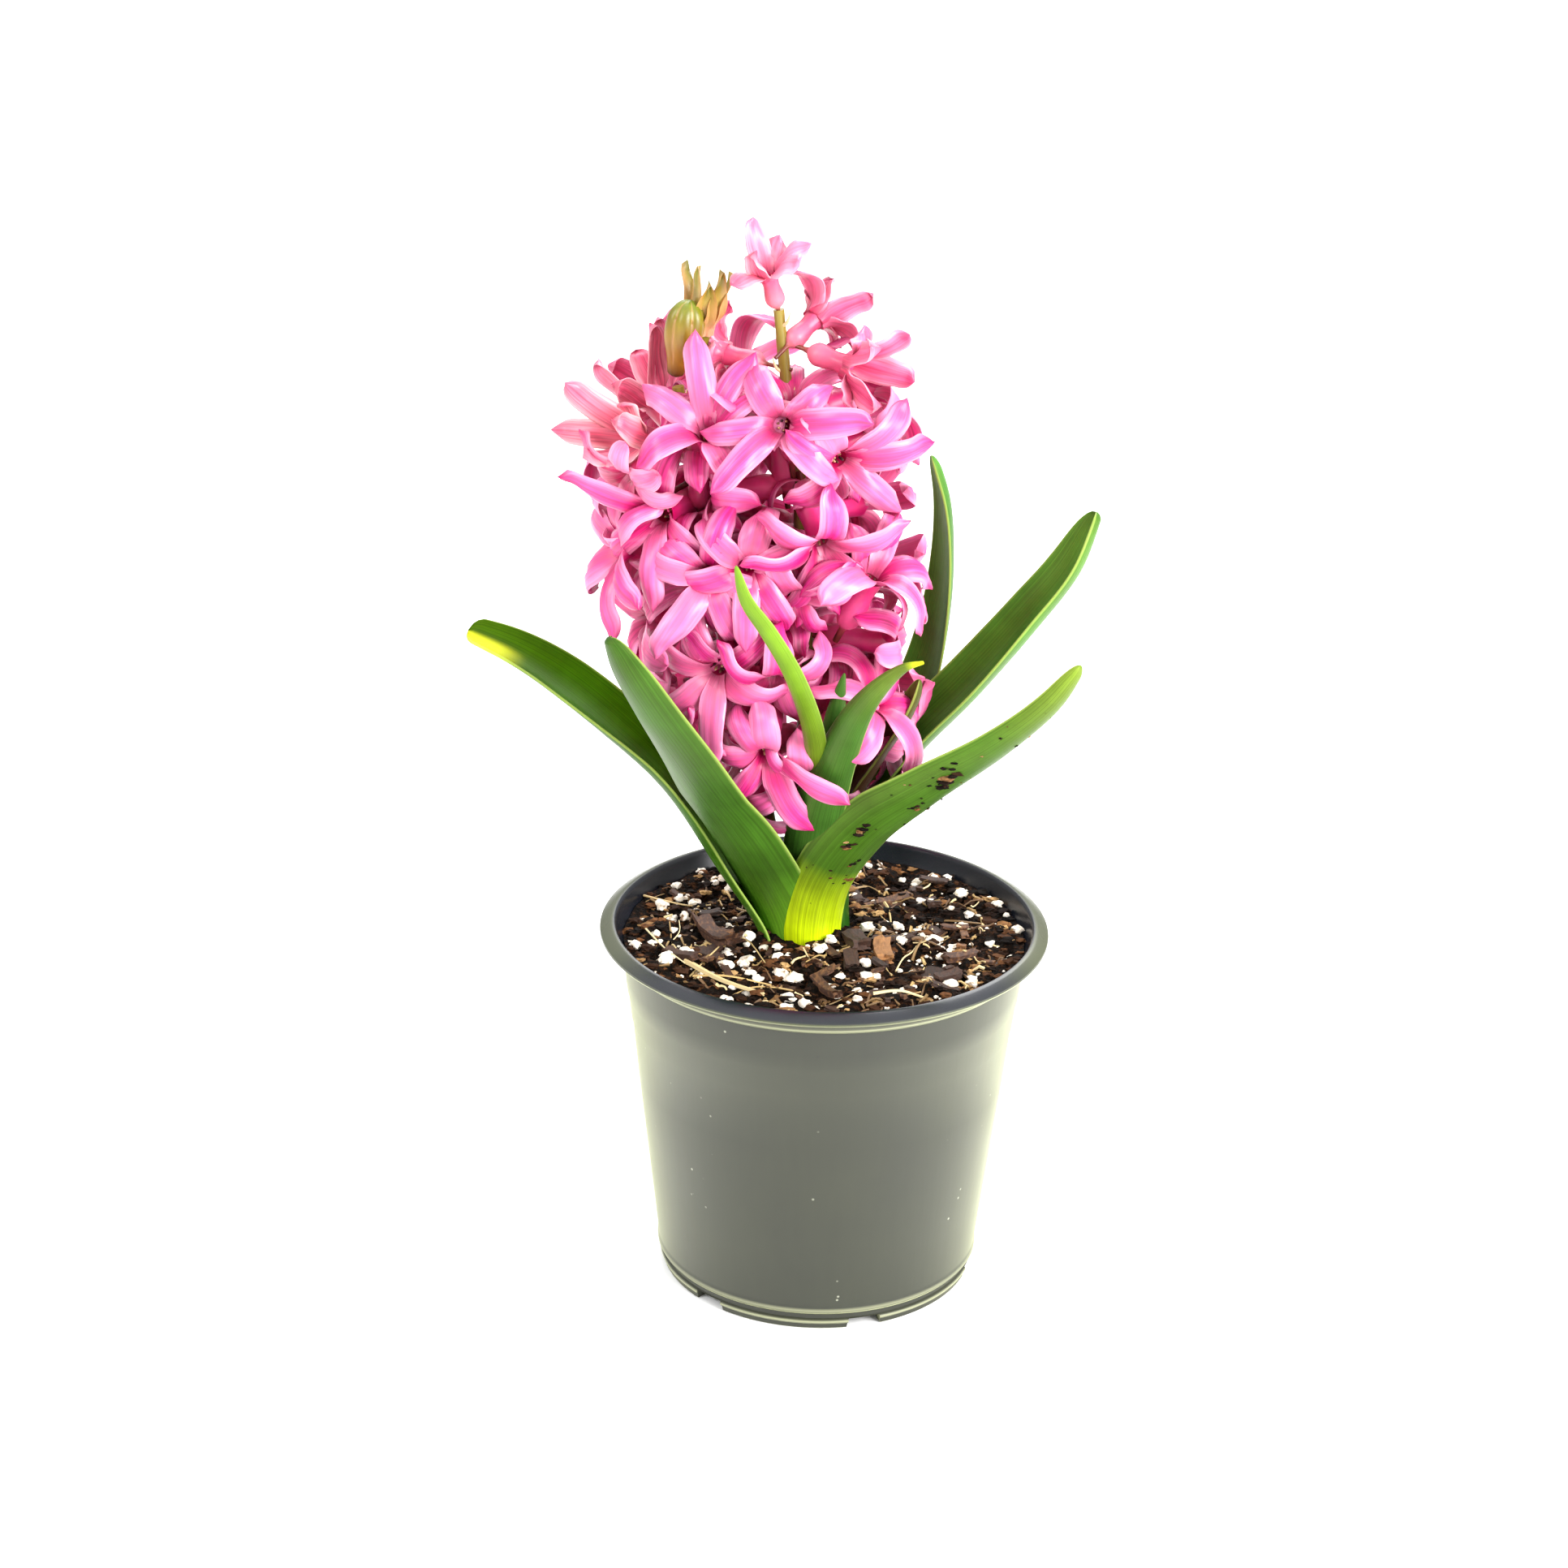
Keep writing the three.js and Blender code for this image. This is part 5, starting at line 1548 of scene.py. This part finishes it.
def makeTepal(pose, k):
    size = pose["size"]
    wide = size * pose.get("wide", 1)
    t = tepalAlong
    s = tepalAcross
    start, end = pose["start"], pose["curls"][k]
    length = floret["tepalLength"] * size * pose["lengths"][k]
    sway, twist, camber, flare = petalRandom.uniform(-1, 1, 4)
    sway *= pose.get("sway", 1)
    fine = np.linspace(0, 1, 101)
    angles = np.radians(mix(start, end, fine))
    step = length / 100
    away = np.concatenate([[0], np.cumsum(np.sin((angles[1:] + angles[:-1]) / 2))]) * step
    out = np.concatenate([[0], np.cumsum(np.cos((angles[1:] + angles[:-1]) / 2))]) * step
    away = np.interp(t, fine, away) + floret["tubeRadius"] * floret["mouth"] * wide
    out = np.interp(t, fine, out) + throatAt * size
    angle = np.interp(t, fine, angles)
    turn = math.radians(floret["twist"]) * twist * smooth(0.15, 1, t)
    # every other petal is a little wider
    half = tepalWidthAt(t, *pose.get("tip", floret["tip"])) * wide
    half *= 1 + 0.09 * flare
    half *= 1.06 if k % 2 else 0.94
    # channelled near the tube, rounded over or folded up further out, ribbed, hooded at the tip
    arch = mix(0.9, -1.25 + 0.85 * camber, smooth(0.05, 0.4, t)) * s ** 2
    ribs = -0.4 * np.exp(-((s / 0.16) ** 2)) - 0.2 * np.exp(-(((np.abs(s) - 0.55) / 0.12) ** 2))
    ribs = ribs * smooth(0.08, 0.35, t) * (1 - smooth(0.85, 1, t))
    hood = floret["hood"] * smooth(0.84, 1, t) * (1 - 0.6 * s ** 2)
    ripple = floret["ripple"] * np.sin(t * 11 + 6 * twist) * s
    thick = mix(*floret["thickness"], s ** 2) * mix(1, 0.75, t) * wide
    high = (arch + ribs + ripple) * wide + hood * size + 0.35 * size + tepalDepth * thick
    bend = floret["sway"] * sway * t * size
    across = s * half
    lateral = across * np.cos(turn) - high * np.sin(turn) + bend * t / 2
    height = across * np.sin(turn) + high * np.cos(turn)
    ahead = -across * np.sin(np.arctan(bend / length))
    around = (k + 0.5) * 2 * math.pi / floret["tepals"] + math.radians(pose["leans"][k])
    radial = np.array([math.cos(around), math.sin(around), 0])
    side = np.array([-math.sin(around), math.cos(around), 0])
    axis = np.array([0, 0, 1.0])
    inward = -radial * np.cos(angle)[:, None] + axis * np.sin(angle)[:, None]
    onward = radial * np.sin(angle)[:, None] + axis * np.cos(angle)[:, None]
    points = radial * away[:, None] + axis * out[:, None] + side * lateral[:, None]
    points += inward * height[:, None] + onward * ahead[:, None]
    piece = copyOf(tepalPiece, "tepal")
    setPoints(piece, placed(points, frameAt(pose["at"], pose["direction"], pose["roll"])))
    mark(piece, "along", t)
    mark(piece, "across", s)
    mark(piece, "shade", petalRandom.random())
    return piece


# tube of a floret from its stalk up to the mouth, and down again inside to the throat
def tubeBlank():
    top = throatAt
    outer = curveThrough([
        (0.75, 0, -1.2), (0.8, 0, 1.5), (0.95, 0, 3.4), (2.2, 0, 4.6), (3.15, 0, 7.2), (3.0, 0, 10.5),
        (2.55, 0, 14), (2.75, 0, 16.8), (3.1, 0, top + 0.9),
    ])
    line = [(0, -1.2)] + [(float(p[0]), float(p[2])) for p in pointAt(outer, np.linspace(0, 1, 18))]
    line += [(2.75, top + 0.7), (2.0, top - 1.0), (1.5, top - 2.4), (0.9, top - 3.4), (0, top - 3.7)]
    piece = turned("tube", line, 18)
    points = pointsOf(piece)
    mark(piece, "along", (points[:, 2] + 1.2) / (top + 2.1))
    radius = np.hypot(points[:, 0], points[:, 1])
    inside = (points[:, 2] > top - 3.8) & (radius < np.interp(points[:, 2], [top - 4, top + 0.9], [1.8, 2.9]))
    mark(piece, "across", inside.astype(float))
    return piece


tubePiece = tubeBlank()
tubePoints = pointsOf(tubePiece)
deselectAll()
bpy.ops.mesh.primitive_uv_sphere_add(segments=6, ring_count=5, radius=mm)
antherPiece = bpy.context.object
antherPoints = pointsOf(antherPiece)


def makeFloret(pose, age):
    size = pose["size"]
    placing = frameAt(pose["at"], pose["direction"], pose["roll"])
    petals = [makeTepal(pose, k) for k in range(floret["tepals"])]
    tube = copyOf(tubePiece, "tube")
    around = np.arctan2(tubePoints[:, 1], tubePoints[:, 0])
    lobes = 1 + 0.045 * np.cos(around * 6 + math.pi) * smooth(6, 16, tubePoints[:, 2])
    scaled = tubePoints * size
    widened = mix(1, pose.get("wide", 1) ** 0.5, smooth(3, 7, tubePoints[:, 2]))
    scaled[:, :2] *= (lobes * widened)[:, None]
    scaled[:, 2] -= pose.get("stem", 0) * smooth(3.4, -1.2, tubePoints[:, 2])
    setPoints(tube, placed(scaled, placing))
    anthers = []
    for k in range(floret["tepals"]):
        angle = (k + 0.5) * math.pi / 3
        points = antherPoints * (0.34, 0.34, 1.05)
        points[:, 2] += throatAt - 1.3 + 0.9 * petalRandom.random()
        reach = 0.9 + 0.35 * petalRandom.random()
        points[:, 0] += math.cos(angle) * reach
        points[:, 1] += math.sin(angle) * reach
        anther = copyOf(antherPiece, "anther")
        setPoints(anther, placed(points * size, placing))
        mark(anther, "along", petalRandom.random())
        mark(anther, "across", 0)
        anthers.append(anther)
    for piece in [*petals, tube, *anthers]:
        mark(piece, "age", age)
    return petals, tube, anthers


petalColours = {
    "fresh": ramp(
        (0.0, "#9A0244"), (0.15, "#B8085C"), (0.36, "#CE2478"), (0.72, "#D93E8C"), (0.92, "#C61C74"),
        (1.0, "#AE065C"),
    ),
    "old": ramp((0.0, "#CC3E5E"), (0.25, "#DA5D76"), (0.7, "#E47084"), (1.0, "#C84968")),
    "margins": ("#EF91B7", "#EBA7A7"),  # fresh, old
    "lines": ("#BE105B", "#C33456"),
    "bloomed": "#ED92B5",
}
tubeColours = {
    "fresh": ramp((0.1, "#5A1E15"), (0.2, "#842F32"), (0.3, "#D34C7D"), (0.6, "#CE3375"), (0.95, "#B50A57")),
    "old": ramp((0.1, "#582C17"), (0.2, "#844B32"), (0.3, "#D8858B"), (0.65, "#DA6A7D"), (0.95, "#D05878")),
    "throat": "#A90749",
}
petalFlesh = {"Subsurface Radius": (1.0, 0.45, 0.7), "Subsurface Scale": 0.0025}


# colours along a petal or a tube, from those of a fresh floret to those of an old one
def agedBody(material, colours, along, age):
    fresh, old = (
        addNode(material, "ValToRGB", {"stops": colours[state]}, {"Fac": along}) for state in ("fresh", "old")
    )
    return addNode(material, "Mix", {"data_type": "RGBA"}, {0: age, 6: fresh, 7: old})


# hyacinth petal: fleshy and waxy, deep magenta where it leaves the tube, paler to its margins,
# a darker line down the middle, a little light passing through it
def petalMaterial(name, stripe):
    material, shader = newMaterial(name)
    along, across, age, shade = (
        addNode(material, "Attribute", {"attribute_name": each})
        for each in ("along", "across", "age", "shade")
    )
    body = agedBody(material, petalColours, along, age)
    away = addNode(material, "Math", {"operation": "ABSOLUTE"}, {0: across})
    edge = addNode(material, "ValToRGB", {"stops": grey((0.3, 0), (0.65, 0.3), (0.95, 0.85))}, {"Fac": away})
    begin = addNode(
        material, "ValToRGB", {"stops": grey((0.05, 0.1), (0.4, 1), (0.85, 1), (1.0, 0.25))}, {"Fac": along},
    )
    edgePart = addNode(material, "Math", {"operation": "MULTIPLY"}, {0: edge, 1: begin})
    marginTone, lineTone = (
        addNode(material, "Mix", {"data_type": "RGBA", 6: linear(fresh), 7: linear(old)}, {0: age})
        for fresh, old in (petalColours["margins"], petalColours["lines"])
    )
    edged = addNode(material, "Mix", {"data_type": "RGBA"}, {0: edgePart, 6: body, 7: marginTone})
    line = addNode(
        material, "ValToRGB",
        {"stops": grey((0.03, stripe), (0.17, 0), (0.42, 0), (0.55, stripe * 0.6), (0.68, 0))}, {"Fac": away},
    )
    lined = addNode(material, "Mix", {"data_type": "RGBA"}, {0: line, 6: edged, 7: lineTone})
    # faint streaks along the petal, about 0.4 mm apart
    streakAcross = addNode(material, "Math", {"operation": "MULTIPLY", 1: 9.0}, {0: across})
    streakAlong = addNode(material, "Math", {"operation": "MULTIPLY", 1: 1.6}, {0: along})
    streakShift = addNode(material, "Math", {"operation": "MULTIPLY", 1: 40.0}, {0: shade})
    streakPlace = addNode(
        material, "CombineXYZ", None, {"X": streakAcross, "Y": streakAlong, "Z": streakShift},
    )
    streak = addNode(material, "TexNoise", {"Scale": 1.0, "Detail": 2.0}, {"Vector": streakPlace})
    streaked = mottled(material, lined, streak, 0.6, 1.14)
    # some petals are paler than others
    paler = addNode(material, "ValToRGB", {"stops": grey((0.3, 0), (1.0, 0.35))}, {"Fac": shade})
    bloomed = addNode(
        material, "Mix", {"data_type": "RGBA", 7: linear(petalColours["bloomed"])}, {0: paler, 6: streaked},
    )
    bump = addNode(material, "Bump", {"Strength": 0.2, "Distance": 0.0002}, {"Height": streak})
    setNode(
        shader, {**petalFlesh, "Roughness": 0.36, "Subsurface Weight": 0.1},
        {"Base Color": bloomed, "Normal": bump},
    )
    return material


# tube of the floret: red brown stalk, then pink, magenta towards the mouth and inside the throat
def tubeMaterial():
    material, shader = newMaterial("floretTube")
    along, across, age = (
        addNode(material, "Attribute", {"attribute_name": each}) for each in ("along", "across", "age")
    )
    body = agedBody(material, tubeColours, along, age)
    throat = addNode(
        material, "Mix", {"data_type": "RGBA", 7: linear(tubeColours["throat"])}, {0: across, 6: body},
    )
    where = addNode(material, "TexCoord")
    cloud = addNode(material, "TexNoise", {"Scale": 500.0, "Detail": 2.0}, {"Vector": where})
    setNode(
        shader, {**petalFlesh, "Roughness": 0.4, "Subsurface Weight": 0.3},
        {"Base Color": mottled(material, throat, cloud, 0.9, 1.06)},
    )
    return material


# pollen sacs, some still dark and closed, some open and beige
def antherMaterial():
    material, shader = newMaterial("pollenSacs")
    along = addNode(material, "Attribute", {"attribute_name": "along"})
    tone = addNode(
        material, "ValToRGB",
        {"stops": ramp((0.0, "#2A1418"), (0.4, "#5A3424"), (0.6, "#9A6E50"), (1.0, "#D0A67C"))},
        {"Fac": along},
    )
    setNode(shader, {"Roughness": 0.7}, {"Base Color": tone})
    return material


petalInner = petalMaterial("petalUpperFace", 0.55)
petalOuter = petalMaterial("petalUnderside", 0.85)
tubeFlesh = tubeMaterial()
pollen = antherMaterial()


def makeFlorets(name, poses, ages):
    parts = []
    for pose, age in zip(poses, ages):
        pose.setdefault("lengths", petalRandom.uniform(0.82, 1.0, floret["tepals"]))
        pose.setdefault("leans", petalRandom.uniform(-14, 14, floret["tepals"]))
        petals, tube, anthers = makeFloret(pose, age)
        for piece in petals:
            coat(piece, petalInner, petalOuter)
        coat(tube, tubeFlesh)
        for anther in anthers:
            coat(anther, pollen)
        parts += [*petals, tube, *anthers]
    return mended(joinAs(name, parts), 0.003)


# florets at the upper left are older: where that starts and is full, and how old they get
aging = {"left": (-33, -42), "up": (190, 202), "oldest": 0.7}


def ageOf(pose):
    x, _, z = np.array(pose["at"]) + 18 * np.array(pose["direction"])
    return pose.get("age", float(aging["oldest"] * smooth(*aging["left"], x) * smooth(*aging["up"], z)))


for name in ("main", "side"):
    poses = [pose for pose in headPoses if pose["scape"] == name]
    head = makeFlorets("flowerHead" + name.capitalize(), poses, [ageOf(pose) for pose in poses])
    softShaded(head, 75)
    finished(head, "petal", "flower_heads")
# florets deeper in, seen through the gaps between the outer ones: lowest, highest, how many;
# they step round by the golden angle, each second one upright
innerFlorets = {
    "main": (127, 196, 14), "side": (150, 202, 9), "step": 137.5, "sector": 220, "rises": (84, -38),
    "size": 0.84, "out": 3,
}
draw = drawsFrom(settling["seed"] + 1)
innerPoses = []
for name in ("main", "side"):
    lowest, highest, count = innerFlorets[name]
    for i in range(count):
        height = mix(lowest, highest, i / (count - 1))
        azimuth = -90 + (i * innerFlorets["step"] + 60) % innerFlorets["sector"] - innerFlorets["sector"] / 2
        rise = innerFlorets["rises"][1 - i % 2]
        pose = drawnPose({"z": height, "rise": rise, "scape": name, "azimuth": azimuth}, draw)
        pose["size"] *= innerFlorets["size"]
        pose["at"] = pose["at"] + heading(azimuth) * innerFlorets["out"]
        innerPoses.append(pose)
head = makeFlorets("flowerHeadInner", innerPoses, [ageOf(pose) for pose in innerPoses])
softShaded(head, 75)
finished(head, "petal", "flower_heads")
for node, (throat, direction, size, turn, start, stem, age, petals) in openedFlorets.items():
    pose = posedAt(throat, direction, size, turn, petals, wide=1.65, stem=stem, start=start, sway=0.3)
    loose = makeFlorets(camelName(node), [pose], [age])
    softShaded(loose, 75)
    finished(loose, "petal_pale", node)
print("florets made")

# the two buds at the top of the smaller scape
closedBud = {"at": (-36.2, 7.4, 216.4), "direction": (0.19, -0.05, 1), "length": 18, "radius": 4.4}
# the bud behind it has begun to open: curl, length and lean of each of its petals
openBud = {
    "throat": (-30.2, 10, 225.6),
    "direction": (0.12, 0, 0.99),
    "size": 0.5,
    "turn": 15,
    "petals": [(8, 1.4, -4), (20, 1.35, -15), (28, 1.15, -24), (42, 1.45, 5), (12, 1.43, 24), (26, 1.25, 13)],
    "wide": 1.6,
    "start": 2,
    "stem": 3,
    "tip": (0.45, 0.9),
    "sway": 0.2,
}
budColours = {
    "petal": ramp((0.0, "#C89070"), (0.35, "#B08A48"), (0.75, "#86761E"), (1.0, "#6A6A14")),
    "bud": ramp((0.0, "#4A2E10"), (0.2, "#96661C"), (0.5, "#906A1A"), (0.75, "#7C6A12"), (1.0, "#647010")),
    "seam": "#C08C60",
}


# unopened florets: ochre below, olive above, pinkish beige along the seams
def budMaterial(name, part):
    material, shader = newMaterial(name)
    along, across = (addNode(material, "Attribute", {"attribute_name": each}) for each in ("along", "across"))
    body = addNode(material, "ValToRGB", {"stops": budColours[part]}, {"Fac": along})
    away = addNode(material, "Math", {"operation": "ABSOLUTE"}, {0: across})
    seamed = addNode(material, "ValToRGB", {"stops": grey((0.35, 0), (1.0, 0.55))}, {"Fac": away})
    seam = addNode(
        material, "Mix", {"data_type": "RGBA", 7: linear(budColours["seam"])}, {0: seamed, 6: body},
    )
    where = addNode(material, "TexCoord")
    tall = addNode(material, "Mapping", {"Scale": (500, 500, 160)}, {"Vector": where})
    cloud = addNode(material, "TexNoise", {"Scale": 1.0, "Detail": 3.0}, {"Vector": tall})
    setNode(
        shader, {"Roughness": 0.38, "Subsurface Weight": 0.1, "Subsurface Scale": 0.0015},
        {"Base Color": mottled(material, seam, cloud, 0.75, 1.15)},
    )
    return material


def makeClosedBud(bud):
    line = [(0, 0)]
    for part in np.linspace(0.012, 0.988, 30):
        swell = mix(0.42, 1, smooth(0, 0.62, part)) * min(1, (part / 0.05) ** 0.5)
        swell *= max(1 - max((part - 0.66) / 0.34, 0) ** 2.4, 0) ** 0.55
        line.append((max(bud["radius"] * swell, 0.3), bud["length"] * part))
    line.append((0, bud["length"]))
    piece = turned("closedBud", line, 48)
    points = pointsOf(piece)
    part = points[:, 2] / bud["length"]
    around = np.arctan2(points[:, 1], points[:, 0]) + 0.5 * part
    ridge = np.abs(np.sin(around * 3))
    deep = mix(0.08, 0.24, smooth(0.3, 0.9, part))
    points[:, :2] *= (1.04 - deep * (1 - ridge ** 0.55))[:, None]
    mark(piece, "along", part)
    mark(piece, "across", np.exp(-((ridge / 0.3) ** 2)) * smooth(0.05, 0.25, part))
    setPoints(piece, placed(points, frameAt(bud["at"], bud["direction"], 0.75)))
    return piece


budFlesh = budMaterial("budFlesh", "bud")
closed = makeClosedBud(closedBud)
coat(closed, budFlesh)
petals, tube, anthers = makeFloret(posedAt(**openBud), 1)
for anther in anthers:
    remove(anther)
halfOpen = [budMaterial(name, "petal") for name in ("halfOpenInner", "halfOpenOuter")]
for piece in petals:
    coat(piece, *halfOpen)
coat(tube, halfOpen[1])
budPieces = joinAs("budPair", [closed, *petals, tube])
softShaded(budPieces, 60)
finished(budPieces, "bud", "buds")
print("buds made")
remove(tepalPiece)
remove(tubePiece)
remove(antherPiece)
